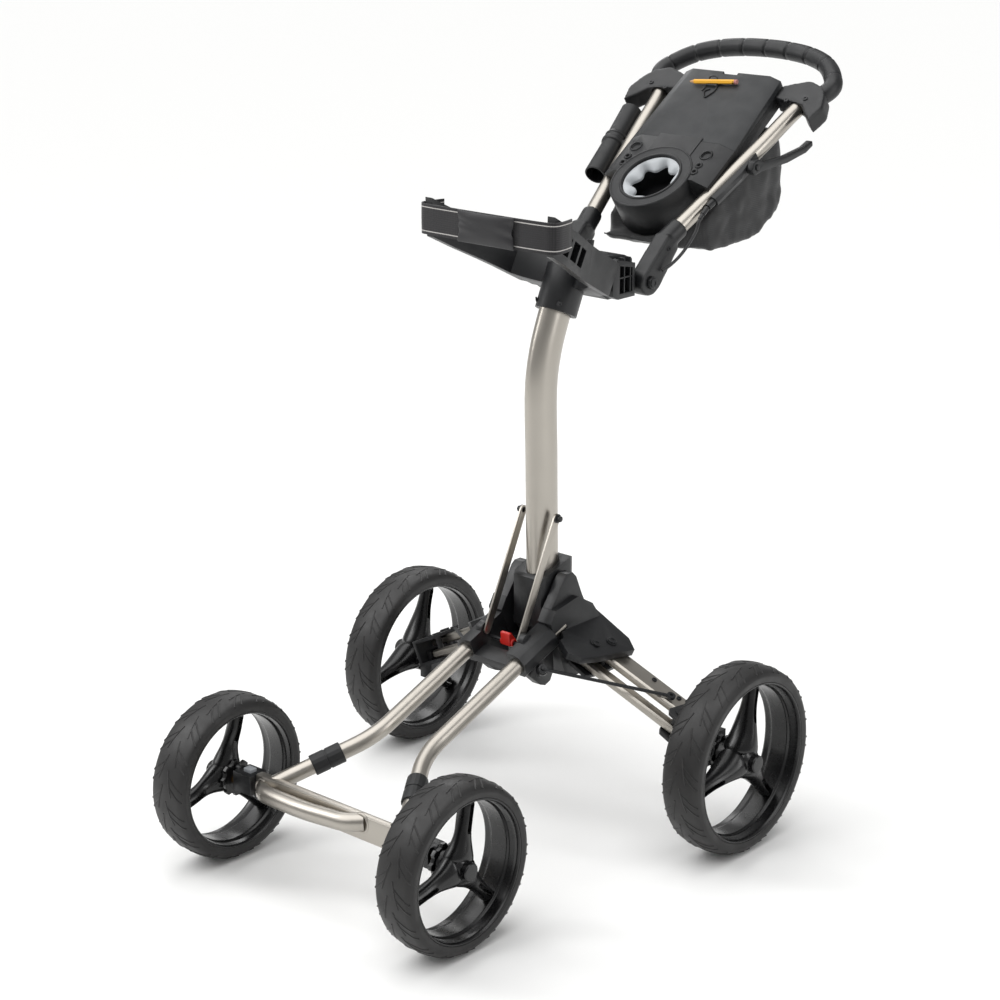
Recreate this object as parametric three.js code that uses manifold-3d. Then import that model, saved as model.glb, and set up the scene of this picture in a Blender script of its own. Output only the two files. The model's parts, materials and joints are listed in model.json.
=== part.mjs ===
// Four-wheel golf push cart: folding mast, slider and rear arms, bag cradle, console and handle.
// Millimetres, +Z up, the cart rolls towards -Y. The frame of the numbers below has its origin on
// the ground midway between the axles; the finished group is moved so that the middle of its
// bounding box is the origin.
import * as THREE from 'three';
import { mergeVertices } from 'three/addons/utils/BufferGeometryUtils.js';
import Module from 'manifold-3d';

const wasm = await Module();
wasm.setup();

// ---------------------------------------------------------------- driving dimensions
const GAP = 0.3;                       // clearance between touching pieces
const WHEELBASE = 515;
const TYRE_WIDTH = 68;
const FRONT_WHEEL = {
  radius: 126, x: 228, y: -WHEELBASE / 2, seat: 105, tunnel: 97, lean: -16, hub: -22, cap: 35,
};
const REAR_WHEEL = {
  radius: 146, x: 328, y: WHEELBASE / 2, seat: 124, tunnel: 115, lean: -16, hub: -32, cap: 41,
};
const AXLE_RADIUS = 6;
const AXLE_INBOARD = -59;              // inner end of each axle from the wheel middle
const WHEEL_SEGMENTS = 36;

const FORK_RADIUS = 12.5;
const FORK_X = 51;                     // straight fork tubes run at this distance from the middle
const FORK_SLOPE = 21.2;               // degrees that the forks fall towards the front
const FORK_HEIGHT = 243;               // height of the fork axis above the origin
const FORK_BEND_Y = -125;
const FORK_REAR_Y = 178;
const FORK_END = new THREE.Vector3(122, -240, 144);
const CROSSBAR = { half: 160, front: -264, back: -249, low: 111, high: 149 };

const MAST_PIVOT = new THREE.Vector3(0, 190, 318);
const MAST_HALF_X = 21;
const MAST_HALF_Y = 28.5;
const STRUT_TOP = new THREE.Vector3(0, 187, 475);
const STRUT_BOTTOM = new THREE.Vector3(0, 105, 303);
const STRUT_X = 33.5;                  // middle of the flat strut
const STRUT_THICKNESS = 3;

const ARM_TILT = 25.9;                 // degrees that the rear arms fall outwards
const ARM_SWEEP = 7.35;                // degrees that they sweep back in their own plane
const ARM_PIVOT = new THREE.Vector3(105, 228.2, 271.5);
const ARM_LENGTH = 168;
const ARM_WIDTH = 36;
const ARM_THICKNESS = 14;
const LINK_WIDTH = 19;
const LINK_OFFSET = new THREE.Vector2(-10, -29.6);   // link pivot from arm pivot, in the arm plane
const LINK_TOP = -18;                  // link top below the arm top

const ELBOW_PIVOT = new THREE.Vector3(0, 330, 823);
const HANDLE_RADIUS = 12.5;
const HANDLE_ROOT = new THREE.Vector3(80, 387, 880);
const HANDLE_KNEE = new THREE.Vector3(139, 649, 1060);
const CONSOLE_PITCH = 35;
const CONSOLE_MIDDLE = new THREE.Vector3(0, 511, 1003);   // on the lid surface
const HANDLE_LOOP = [[160, 668], [166, 684], [152, 704], [126, 724], [90, 737], [45, 744], [0, 746]];

const REAR_EDGE = 760.65;               // rearmost point of the grip
const ORIGIN_Y = (REAR_EDGE + FRONT_WHEEL.y - FRONT_WHEEL.radius) / 2;

// ---------------------------------------------------------------- materials
const paint = (color, roughness, metalness = 0) => (
  new THREE.MeshStandardMaterial({ color, roughness, metalness }));
const silver = paint('#bfbab3', 0.38, 0.7);
const steel = paint('#c9c9c7', 0.3, 0.9);
const nylon = paint('#27282b', 0.5);
const rimBlack = paint('#1d1d1f', 0.32);
const rubber = paint('#2b2a2a', 0.8);
const lidGrey = paint('#4b4d4f', 0.55);
const fabric = paint('#2c2b2e', 0.9);
const buttonGrey = paint('#a9adb0', 0.45);
const latchRed = paint('#c62a22', 0.4);
const insertWhite = paint('#d9dde0', 0.6);
const pencilYellow = paint('#f2b200', 0.45);

// ---------------------------------------------------------------- small geometry kit
const deg = THREE.MathUtils.degToRad;
const vec = (x, y, z) => new THREE.Vector3(x, y, z);
const X_AXIS = vec(1, 0, 0);
const Y_AXIS = vec(0, 1, 0);
const Z_AXIS = vec(0, 0, 1);

function signedVolume(position, index) {
  const [a, b, c] = [vec(), vec(), vec()];
  let total = 0;
  for (let i = 0; i < index.length; i += 3) {
    a.fromBufferAttribute(position, index[i]);
    b.fromBufferAttribute(position, index[i + 1]);
    c.fromBufferAttribute(position, index[i + 2]);
    total += a.dot(b.cross(c));
  }
  return total / 6;
}

// One closed body with shared vertices, no flat triangles and its faces pointing out.
function closed(geometry) {
  const bare = new THREE.BufferGeometry();
  bare.setAttribute('position', geometry.getAttribute('position').clone());
  if (geometry.index) bare.setIndex(geometry.index.clone());
  const merged = mergeVertices(bare, 1e-3);
  const source = merged.index.array;
  const kept = [];
  for (let i = 0; i < source.length; i += 3) {
    const [a, b, c] = [source[i], source[i + 1], source[i + 2]];
    if (a !== b && b !== c && a !== c) kept.push(a, b, c);
  }
  if (signedVolume(merged.getAttribute('position'), kept) < 0) kept.reverse();
  merged.setIndex(kept);
  return merged;
}

function toSolid(geometry) {
  const shape = closed(geometry);
  const vertProperties = new Float32Array(shape.getAttribute('position').array);
  const triVerts = new Uint32Array(shape.index.array);
  return new wasm.Manifold(new wasm.Mesh({ numProp: 3, vertProperties, triVerts }));
}

function fromSolid(solid) {
  const { vertProperties, triVerts, numProp } = solid.getMesh();
  const geometry = new THREE.BufferGeometry();
  const positions = new Float32Array(triVerts.length ? (vertProperties.length / numProp) * 3 : 0);
  for (let i = 0; i < positions.length / 3; i += 1) {
    for (let k = 0; k < 3; k += 1) positions[3 * i + k] = vertProperties[numProp * i + k];
  }
  geometry.setAttribute('position', new THREE.BufferAttribute(positions, 3));
  geometry.setIndex(Array.from(triVerts));
  return geometry;
}

const join = (...parts) => fromSolid(parts.map(toSolid).reduce((sum, part) => sum.add(part)));
const cut = (base, ...tools) => (
  fromSolid(tools.map(toSolid).reduce((left, tool) => left.subtract(tool), toSolid(base))));

function mirrored(geometry) {
  const copy = closed(geometry).clone().scale(-1, 1, 1);
  return closed(copy);
}

// A flat outline in the plane of two axes, thickened along their cross product.
function prism(outline, depth, origin, across, up) {
  const shape = outline instanceof THREE.Shape
    ? outline : new THREE.Shape(outline.map(([a, b]) => new THREE.Vector2(a, b)));
  const body = new THREE.ExtrudeGeometry(shape, { depth, bevelEnabled: false, curveSegments: 4 });
  const normal = across.clone().cross(up);
  body.applyMatrix4(new THREE.Matrix4().makeBasis(across, up, normal).setPosition(origin));
  return body;
}

// An outline drawn in (y, z), running from one x to another.
const slab = (outline, x0, x1) => prism(outline, x1 - x0, vec(x0, 0, 0), Y_AXIS, Z_AXIS);

function block(x0, x1, y0, y1, z0, z1) {
  const body = new THREE.BoxGeometry(x1 - x0, y1 - y0, z1 - z0);
  return body.translate((x0 + x1) / 2, (y0 + y1) / 2, (z0 + z1) / 2);
}

function bar(from, to, radius, sides = 16, endRadius = radius) {
  const axis = to.clone().sub(from);
  const body = new THREE.CylinderGeometry(endRadius, radius, axis.length(), sides);
  body.translate(0, axis.length() / 2, 0);
  body.applyQuaternion(new THREE.Quaternion().setFromUnitVectors(Y_AXIS, axis.normalize()));
  return body.translate(from.x, from.y, from.z);
}

// A solid of revolution about the x axis from a profile of [x, radius] points.
function turned(profile, segments = 24) {
  const points = profile.map(([x, r]) => new THREE.Vector2(r, x));
  return new THREE.LatheGeometry(points, segments).rotateZ(-Math.PI / 2);
}

// A straight-legged path whose corners are rounded.
function roundedPath(points, radius) {
  const path = new THREE.CurvePath();
  let start = points[0];
  for (let i = 1; i < points.length - 1; i += 1) {
    const corner = points[i];
    const before = corner.clone().sub(points[i - 1]);
    const after = points[i + 1].clone().sub(corner);
    const setback = Math.min(radius, before.length() * 0.45, after.length() * 0.45);
    const entry = corner.clone().addScaledVector(before.normalize(), -setback);
    const exit = corner.clone().addScaledVector(after.normalize(), setback);
    path.add(new THREE.LineCurve3(start, entry));
    path.add(new THREE.QuadraticBezierCurve3(entry, corner, exit));
    start = exit;
  }
  path.add(new THREE.LineCurve3(start, points[points.length - 1]));
  return path;
}

function ellipse(halfX, halfY, sides) {
  const ring = [];
  for (let i = 0; i < sides; i += 1) {
    const angle = (2 * Math.PI * (i + 0.5)) / sides;
    ring.push(new THREE.Vector2(halfX * Math.cos(angle), halfY * Math.sin(angle)));
  }
  return new THREE.Shape(ring);
}

function swept(section, path, steps) {
  return new THREE.ExtrudeGeometry(section, { steps, extrudePath: path, bevelEnabled: false });
}

function roundedBox(width, height, corner) {
  const shape = new THREE.Shape();
  const [w, h] = [width / 2, height / 2];
  shape.moveTo(-w + corner, -h);
  shape.lineTo(w - corner, -h);
  shape.lineTo(w, -h + corner);
  shape.lineTo(w, h - corner);
  shape.lineTo(w - corner, h);
  shape.lineTo(-w + corner, h);
  shape.lineTo(-w, h - corner);
  shape.lineTo(-w, -h + corner);
  return shape;
}

const cart = new THREE.Group();
cart.position.y = -ORIGIN_Y;

function add(parent, name, geometry, material) {
  const mesh = new THREE.Mesh(closed(geometry), material);
  mesh.name = name;
  parent.add(mesh);
  return mesh;
}

// The same right-hand piece on both sides: +1 is the +X side.
function addPair(stem, geometry, material) {
  add(cart, `${stem}_right`, geometry, material);
  add(cart, `${stem}_left`, mirrored(geometry), material);
}

// ---------------------------------------------------------------- wheels
// Drawn about the x axis with the outboard side at +x.
function tyre({ radius, seat }) {
  const half = TYRE_WIDTH / 2;
  return turned([
    [-half + 1, seat], [-half, radius - 14], [-half + 7, radius - 4.5], [0, radius],
    [half - 7, radius - 4.5], [half, radius - 14], [half - 1, seat], [-half + 1, seat],
  ], WHEEL_SEGMENTS);
}

function barrel({ seat, tunnel }) {
  const outer = seat - GAP;
  return turned([
    [-33, outer], [33, outer], [33, seat - 3.5], [14, tunnel], [-18, tunnel],
    [-30, tunnel + 2.5], [-33, seat - 3], [-33, outer],
  ], WHEEL_SEGMENTS);
}

function hub({ hub: inner, cap }) {
  return turned([
    [inner, 0], [inner, 16], [inner + 3, 28], [inner + 10, 28], [inner + 11, 21],
    [cap - 12, 17], [cap - 11, 13], [cap, 12], [cap, 0],
  ], 16);
}

function spoke({ tunnel, hub: inner, cap }) {
  const root = 14;
  const tip = tunnel + 1.5;
  const low = inner + 10;
  const high = cap - 12;
  const shape = new THREE.Shape();
  shape.moveTo(-6, tip);
  shape.quadraticCurveTo(-7, 0.5 * tip, low, root);
  shape.lineTo(high, root);
  shape.quadraticCurveTo(15, 0.45 * tip, 14, tip);
  const web = prism(shape, 18, vec(0, 9, 0), X_AXIS, Z_AXIS);
  return cut(web, block(-40, 40, -3, 3, 0.55 * tip, tunnel - 6));
}

function rim(size) {
  let shape = toSolid(hub(size)).add(toSolid(barrel(size)));
  for (let i = 0; i < 3; i += 1) {
    shape = shape.add(toSolid(spoke(size).rotateX((i * 2 * Math.PI) / 3 + deg(size.lean))));
  }
  const bore = bar(vec(size.hub - 1, 0, 0), vec(size.cap - 14, 0, 0), AXLE_RADIUS + GAP, 12);
  return fromSolid(shape.subtract(toSolid(bore)));
}

// Axle pin with its nut between the hub and the block that carries it.
const NUT = 8;
function axle({ hub: inner, cap }) {
  const face = inner - GAP;
  return turned([
    [AXLE_INBOARD, 0], [AXLE_INBOARD, AXLE_RADIUS], [face - NUT + 0.3, AXLE_RADIUS],
    [face - NUT + 0.3, 9.5], [face, 9.5], [face, AXLE_RADIUS], [cap - 15, AXLE_RADIUS],
    [cap - 15, 0],
  ], 12);
}

for (const [end, size] of [['front', FRONT_WHEEL], ['rear', REAR_WHEEL]]) {
  for (const [side, sign] of [['left', -1], ['right', 1]]) {
    const corner = new THREE.Group();
    corner.position.set(sign * size.x, size.y, size.radius);
    const turn = sign > 0 ? (shape) => shape : mirrored;
    add(corner, `tyre_${end}_${side}`, turn(tyre(size)), rubber);
    add(corner, `rim_${end}_${side}`, turn(rim(size)), rimBlack);
    add(corner, `axle_${end}_${side}`, turn(axle(size)), steel);
    cart.add(corner);
  }
}
const blockFace = (size) => size.x + size.hub - NUT - GAP - 0.3;
const axleHole = (size) => bar(vec(size.x - 90, size.y, size.radius),
  vec(size.x, size.y, size.radius), AXLE_RADIUS + GAP, 12);

// ---------------------------------------------------------------- front frame
const slope = deg(FORK_SLOPE);
const forkDown = vec(0, -Math.cos(slope), -Math.sin(slope));
const forkUp = vec(0, -Math.sin(slope), Math.cos(slope));
const forkAt = (y, x = FORK_X) => vec(x, y, FORK_HEIGHT + y * Math.tan(slope));

const ringShape = (outer, inner, sides) => {
  const shape = ellipse(outer, outer, sides);
  shape.holes.push(ellipse(inner, inner, sides));
  return shape;
};
const forkLine = [forkAt(FORK_REAR_Y), forkAt(FORK_BEND_Y, FORK_X - 2), FORK_END];
forkLine[1].x = FORK_X;
const forkPath = roundedPath(forkLine, 30);
addPair('fork', swept(ringShape(FORK_RADIUS, FORK_RADIUS - 1.8, 12), forkPath, 15), silver);

// Two rubber rings round the lower leg of each fork.
const legDirection = FORK_END.clone().sub(forkLine[1]).normalize();
const legAt = (distance) => forkLine[1].clone().addScaledVector(legDirection, distance);
function sleeve() {
  const rings = join(bar(legAt(52), legAt(75), 16, 16), bar(legAt(74.5), legAt(77.5), 15, 16),
    bar(legAt(77), legAt(100), 16, 16));
  return cut(rings, bar(legAt(45), legAt(110), FORK_RADIUS + GAP, 16));
}
addPair('sleeve', sleeve(), rubber);

// Flat cross bar with the bowed step tube welded to its front.
function crossbar() {
  const { half, front, back, low, high } = CROSSBAR;
  const middle = (low + high) / 2;
  const plate = block(-half, half, front, back, low, high);
  const bow = roundedPath([
    vec(-146, front + 6, middle - 1), vec(-128, front - 12, middle), vec(-40, front - 17, middle + 3),
    vec(38, front - 12, middle + 7), vec(58, front + 6, middle + 8),
  ], 26);
  return join(plate, swept(ellipse(13.5, 13.5, 12), bow, 14));
}
add(cart, 'crossbar', crossbar(), silver);

// Grey push buttons that let the wheels come off, each in a well of its block.
const BUTTON = { wide: 15, deep: 7, rise: 5 };
function button(x, y, top, grow = 0) {
  const half = BUTTON.wide / 2 + grow;
  return block(x - half, x + half, y - half + 1, y + half - 1, top - BUTTON.deep - 10 * grow,
    top + BUTTON.rise + 10 * grow);
}

function frontBlock() {
  const { x, y, radius } = FRONT_WHEEL;
  const face = blockFace(FRONT_WHEEL);
  const body = block(CROSSBAR.half + GAP, face, y - 17, y + 17, radius - 10, radius + 20);
  const latch = bar(vec(face - 4, y, radius + 17.5), vec(face + 6, y, radius + 17.5), 6.5, 14);
  return cut(join(body, latch), axleHole(FRONT_WHEEL), button(x - 50, y, radius + 20, GAP));
}
addPair('axle_block', frontBlock(), nylon);
addPair('release_button_front',
  button(FRONT_WHEEL.x - 50, FRONT_WHEEL.y, FRONT_WHEEL.radius + 20), buttonGrey);

// ---------------------------------------------------------------- arm plane
const tilt = deg(ARM_TILT);
const armAcross = vec(Math.cos(tilt), 0, -Math.sin(tilt));
const armNormal = vec(Math.sin(tilt), 0, Math.cos(tilt));
const inArm = (p, q, h = 0) => ARM_PIVOT.clone().addScaledVector(armAcross, p)
  .addScaledVector(Y_AXIS, q).addScaledVector(armNormal, h);
const armPlate = (outline, low, high) => (
  prism(outline, high - low, inArm(0, 0, low), armAcross, Y_AXIS));
const armPin = (p, q, low, high, radius) => bar(inArm(p, q, low), inArm(p, q, high), radius, 12);
const sweep = deg(ARM_SWEEP);
const armReach = [ARM_LENGTH * Math.cos(sweep), ARM_LENGTH * Math.sin(sweep)];
const PIN = 5;
const LINK_BOTTOM = LINK_TOP - ARM_THICKNESS;

// ---------------------------------------------------------------- base bracket
// Plane where the sliding bracket meets the base, square to the fork tubes.
const seamAxis = forkAt(149.5, 0);
const seamPoint = (up) => [seamAxis.y + forkUp.y * up, seamAxis.z + forkUp.z * up];
function baseBracket() {
  const cheekLow = [
    seamPoint(-75), seamPoint(24), [152, 342], [205, 352], [240, 332], [262, 300], [262, 232],
    [250, 225], [190, 225],
  ];
  const cheekHigh = [
    [150, 338], [168, 362], [183, 384], [190, 389], [203, 389], [212, 380], [226, 348], [238, 325],
  ];
  const floor = [
    seamPoint(-75), seamPoint(-22), [229, 280.8], [234, 290], [234, 325], [250, 318], [262, 300],
    [262, 232], [250, 225], [190, 225],
  ];
  const cover = [
    [-12.6, -90], [6, -77], [16, -45], [22, -9], [29, 24], [6, 36], [-27, 36], [-72, 36],
    [-72, -50], [-41, -70], [-39, -80],
  ];
  const lower = [[14, -20], [8, -46], [-72, -46], [-72, 36], [6, 36], [14, 22]];
  let shape = toSolid(slab(floor, -36.6, 36.6));
  for (const side of [(part) => part, mirrored]) {
    const parts = [
      slab(cheekLow, 36.3, 63), slab(cheekHigh, 36.3, 53),
      bar(vec(52, MAST_PIVOT.y, MAST_PIVOT.z), vec(58, MAST_PIVOT.y, MAST_PIVOT.z), 9, 6),
      armPlate(cover, 1, 13), armPlate(lower, LINK_BOTTOM - 6.6, LINK_BOTTOM - 0.6),
      armPlate([[-72, 30.5], [6, 30.5], [6, 36], [-72, 36]], LINK_BOTTOM - 1, 2),
      armPin(0, 0, LINK_BOTTOM - 2, 2, PIN),
      armPin(LINK_OFFSET.x, LINK_OFFSET.y, LINK_BOTTOM - 2, 2, PIN),
      armPin(0, 0, 12, 15.5, 9), armPin(LINK_OFFSET.x, LINK_OFFSET.y, 12, 15.5, 8),
    ];
    for (const part of parts) shape = shape.add(toSolid(side(part)));
    const socket = bar(forkAt(120), forkAt(FORK_REAR_Y + 0.5), FORK_RADIUS + GAP, 16);
    shape = shape.subtract(toSolid(side(socket)));
  }
  const pin = bar(vec(-40, MAST_PIVOT.y, MAST_PIVOT.z), vec(40, MAST_PIVOT.y, MAST_PIVOT.z), 6, 20);
  return fromSolid(shape.add(toSolid(pin)));
}
add(cart, 'base_bracket', baseBracket(), nylon);

// ---------------------------------------------------------------- sliding front bracket
const ROD_ROOT = vec(74, 110, 264);
const ROD_AXIS = vec(0.595, -0.496, 0.6325).normalize();
const LATCH_PIN = vec(0, 116, 288);
function frontBracket() {
  const start = seamAxis.clone().addScaledVector(forkDown, GAP);
  const along = (outline, from, to) => prism(outline, to - from,
    start.clone().addScaledVector(forkDown, from), X_AXIS, forkUp);
  const shell = [[36.3, -18], [62, -18], [68, -11], [68, 6], [60, 17], [50, 21], [36.3, 21]];
  const lobe = [
    [84, 270], [96, 255], [112, 242], [128, 228], [140, 223.5], [152, 228], [160, 244], [157, 275],
    [130, 285],
  ];
  const lugSide = [[103, 250], [122, 250], [122, 276], [103, 276]];
  const eye = ROD_ROOT.clone().addScaledVector(ROD_AXIS, -3.2);
  const { y, z } = STRUT_BOTTOM;
  let shape = toSolid(along([[-37, -17], [37, -17], [37, -4], [-37, -4]], 50, 78));
  for (const side of [(part) => part, mirrored]) {
    const parts = [
      along(shell, 0, 78), slab(lobe, 38, 53), bar(vec(36.3, y, z), vec(47, y, z), 11, 16),
      slab(lugSide, 56, 66), bar(eye, eye.clone().addScaledVector(ROD_AXIS, -7), 8, 14),
      bar(eye.clone().addScaledVector(ROD_AXIS, -1), ROD_ROOT.clone().addScaledVector(ROD_AXIS, 5),
        2.6, 12),
      bar(vec(52, 120, 249), vec(57, 120, 249), 7, 6),
    ];
    for (const part of parts) shape = shape.add(toSolid(side(part)));
    const tunnel = bar(forkAt(175), forkAt(40), FORK_RADIUS + GAP + 0.1, 16);
    shape = shape.subtract(toSolid(side(tunnel)));
  }
  const pin = bar(LATCH_PIN.clone().setX(-38), LATCH_PIN.clone().setX(38), 3, 12);
  return fromSolid(shape.add(toSolid(pin)));
}
add(cart, 'front_bracket', frontBracket(), nylon);

// Fold lock: a thumb lever above its pin and a catch behind.
function foldLatch() {
  const { y, z } = LATCH_PIN;
  const lever = slab([[y - 7, z - 4], [y + 4, z - 6], [y + 16, z - 14], [y + 20, z - 10],
    [y + 6, z + 5], [y - 4, z + 17], [y - 9, z + 16]], -9, 9);
  const boss = bar(vec(-12, y, z), vec(12, y, z), 6.5, 16);
  return cut(join(lever, boss), bar(vec(-20, y, z), vec(20, y, z), 3 + GAP, 12));
}
add(cart, 'fold_latch', foldLatch(), latchRed);

// ---------------------------------------------------------------- mast, foot and struts
const mastCurve = new THREE.CatmullRomCurve3([
  vec(0, 195, 340), vec(0, 193, 430), vec(0, 190.5, 560), vec(0, 189.2, 680), vec(0, 199, 730),
  vec(0, 213, 768), vec(0, 231, 808),
]);
const MAST_STEPS = 12;
const MAST_SIDES = 16;
const mastShape = ellipse(MAST_HALF_X, MAST_HALF_Y, MAST_SIDES);
mastShape.holes.push(ellipse(MAST_HALF_X - 2, MAST_HALF_Y - 2, MAST_SIDES));
add(cart, 'mast', swept(mastShape, mastCurve, MAST_STEPS), silver);
const mastSpace = () => swept(ellipse(MAST_HALF_X + 0.6, MAST_HALF_Y + 0.6, MAST_SIDES),
  mastCurve, MAST_STEPS);

function mastFoot() {
  const side = [
    [175, 287], [205, 287], [222, 301], [232, 330], [232, 402], [226, 404], [163, 384], [159, 380],
    [159, 320], [162, 301],
  ];
  let body = slab(side, -31, 31);
  const trim = [[-33, 150], [-33, 172], [-26, 156], [26, 156], [33, 172], [33, 150]];
  const rearTrim = trim.map(([x, y]) => [x, 2 * 195.5 - y]);
  for (const outline of [trim, rearTrim]) {
    body = cut(body, prism(outline, 130, vec(0, 0, 312), X_AXIS, Y_AXIS));
  }
  const pinHole = bar(vec(-40, MAST_PIVOT.y, MAST_PIVOT.z), vec(40, MAST_PIVOT.y, MAST_PIVOT.z),
    6 + GAP, 20);
  const strap = block(-10, 10, 224, 236, 376, 394);
  const low = new THREE.Vector3(0, 195, 339.7);
  const well = prism(ellipse(MAST_HALF_X + 0.6, MAST_HALF_Y + 0.6, MAST_SIDES), 3, low, X_AXIS, Y_AXIS);
  return cut(join(body, strap), mastSpace(), well, pinHole);
}
add(cart, 'mast_foot', mastFoot(), nylon);

function strut() {
  const { y: topY, z: topZ } = STRUT_TOP;
  const { y: lowY, z: lowZ } = STRUT_BOTTOM;
  const inner = STRUT_X - STRUT_THICKNESS / 2;
  const outer = STRUT_X + STRUT_THICKNESS / 2;
  const run = Math.hypot(topY - lowY, topZ - lowZ);
  const [ny, nz] = [((topZ - lowZ) / run) * 7, (-(topY - lowY) / run) * 7];
  const strip = slab([[topY + ny, topZ + nz], [topY - ny, topZ - nz], [lowY - ny, lowZ - nz],
    [lowY + ny, lowZ + nz]], inner, outer);
  const eyes = [[topY, topZ], [lowY, lowZ]].map(([y, z]) => (
    bar(vec(inner, y, z), vec(outer, y, z), 7, 16)));
  const hole = bar(vec(20, topY, topZ), vec(50, topY, topZ), 4 + GAP, 14);
  return cut(join(strip, ...eyes), hole);
}
addPair('strut', strut(), silver);

// ---------------------------------------------------------------- rear arms
function tubeBetween(offset, width, low, tail) {
  const [ox, oy] = offset;
  const point = (along, side, h) => inArm(
    ox + along * Math.cos(sweep) - side * Math.sin(sweep),
    oy + along * Math.sin(sweep) + side * Math.cos(sweep), h);
  const along = vec().addScaledVector(armAcross, Math.cos(sweep)).addScaledVector(Y_AXIS,
    Math.sin(sweep));
  const across = vec().addScaledVector(armAcross, -Math.sin(sweep)).addScaledVector(Y_AXIS,
    Math.cos(sweep));
  const middle = point(-tail, 0, low + ARM_THICKNESS / 2);
  const section = roundedBox(width, ARM_THICKNESS, 3);
  const hollow = roundedBox(width - 4, ARM_THICKNESS - 4, 1.5);
  section.holes.push(new THREE.Path(hollow.getPoints().slice(0, 8)));
  const tube = prism(section, ARM_LENGTH + 2 * tail, middle, across, armNormal);
  const holes = [0, ARM_LENGTH].map((u) => bar(point(u, 0, low - 5),
    point(u, 0, low + ARM_THICKNESS + 5), PIN + GAP, 12));
  return cut(tube, ...holes);
}
const rearArm = tubeBetween([0, 0], ARM_WIDTH, -ARM_THICKNESS, 20);
const rearLink = tubeBetween([LINK_OFFSET.x, LINK_OFFSET.y], LINK_WIDTH, LINK_BOTTOM, 14);
addPair('arm', rearArm, silver);
addPair('link', rearLink, silver);

function carrier() {
  const { y, radius } = REAR_WHEEL;
  const [qx, qy] = armReach;
  const [lx, ly] = [qx + LINK_OFFSET.x, qy + LINK_OFFSET.y];
  const plate = [
    [qx - 17, qy + 12], [qx - 8, qy + 19], [qx + 34, qy + 19], [qx + 34, ly - 16], [lx - 6, ly - 16],
    [lx - 13, ly - 8],
  ];
  const face = blockFace(REAR_WHEEL);
  const wall = [[qx + 28, ly - 16], [qx + 34.5, ly - 16], [qx + 34.5, qy + 19], [qx + 28, qy + 19]];
  const body = join(
    armPlate(plate, 0.6, 5.6), armPlate(plate, LINK_BOTTOM - 6.6, LINK_BOTTOM - 0.6),
    armPlate(wall, LINK_BOTTOM - 6, 5.6), block(262, face, 222, 286, radius - 22, radius + 26),
    armPin(qx, qy, LINK_BOTTOM - 2, 2, PIN), armPin(lx, ly, LINK_BOTTOM - 2, 2, PIN),
    armPin(qx, qy, 5, 9, 8), armPin(lx, ly, 5, 8, 7),
  );
  const well = block(face - 22, face - 6, 275, 290, radius - 18, radius - 2);
  return cut(body, axleHole(REAR_WHEEL), well);
}
addPair('carrier', carrier(), nylon);
const rearFace = blockFace(REAR_WHEEL);
const rearButton = block(rearFace - 21.7, rearFace - 6.3, 279, 290, REAR_WHEEL.radius - 17.7,
  REAR_WHEEL.radius - 2.3);
addPair('release_button_rear', rearButton, buttonGrey);

// Wire rod from the sliding bracket to the top of the arm, with a flat eye at each end.
const alongArm = (u, side, h) => inArm(u * Math.cos(sweep) - side * Math.sin(sweep),
  u * Math.sin(sweep) + side * Math.cos(sweep), h);
const ROD_END = alongArm(126, -10, 7);
function rod() {
  const run = ROD_END.clone().sub(ROD_ROOT).normalize();
  const inner = bar(ROD_ROOT.clone().addScaledVector(ROD_AXIS, -2.5),
    ROD_ROOT.clone().addScaledVector(ROD_AXIS, 2.5), 7, 12);
  const outer = bar(ROD_END.clone().addScaledVector(armNormal, -2.5),
    ROD_END.clone().addScaledVector(armNormal, 2.5), 7, 12);
  const wire = bar(ROD_ROOT.clone().addScaledVector(run, 4.5),
    ROD_END.clone().addScaledVector(run, -4.5), 2.8, 8);
  const holes = [
    bar(ROD_ROOT.clone().addScaledVector(ROD_AXIS, -8), ROD_ROOT.clone().addScaledVector(ROD_AXIS, 8),
      2.6 + GAP, 10),
    bar(ROD_END.clone().addScaledVector(armNormal, -8), ROD_END.clone().addScaledVector(armNormal, 8),
      2.9, 10),
  ];
  return cut(join(inner, outer, wire), ...holes);
}
addPair('rod', rod(), nylon);

// ---------------------------------------------------------------- mast head and cradle
// The cradle is a U in a plane that rises forwards, thickened square to that plane.
const CRADLE_RISE = 27.5;
const CRADLE_HEIGHT = 51;
const CRADLE_FRONT = vec(0, 72, 903);
const cradleBack = vec(0, Math.cos(deg(CRADLE_RISE)), -Math.sin(deg(CRADLE_RISE)));
function cradleWall(outline, low = 0, high = CRADLE_HEIGHT) {
  const plan = outline.map(([x, y]) => [x, (y - CRADLE_FRONT.y) / cradleBack.y]);
  const normal = X_AXIS.clone().cross(cradleBack);
  const origin = CRADLE_FRONT.clone().addScaledVector(normal, low);
  return prism(plan, high - low, origin, X_AXIS, cradleBack);
}

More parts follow.
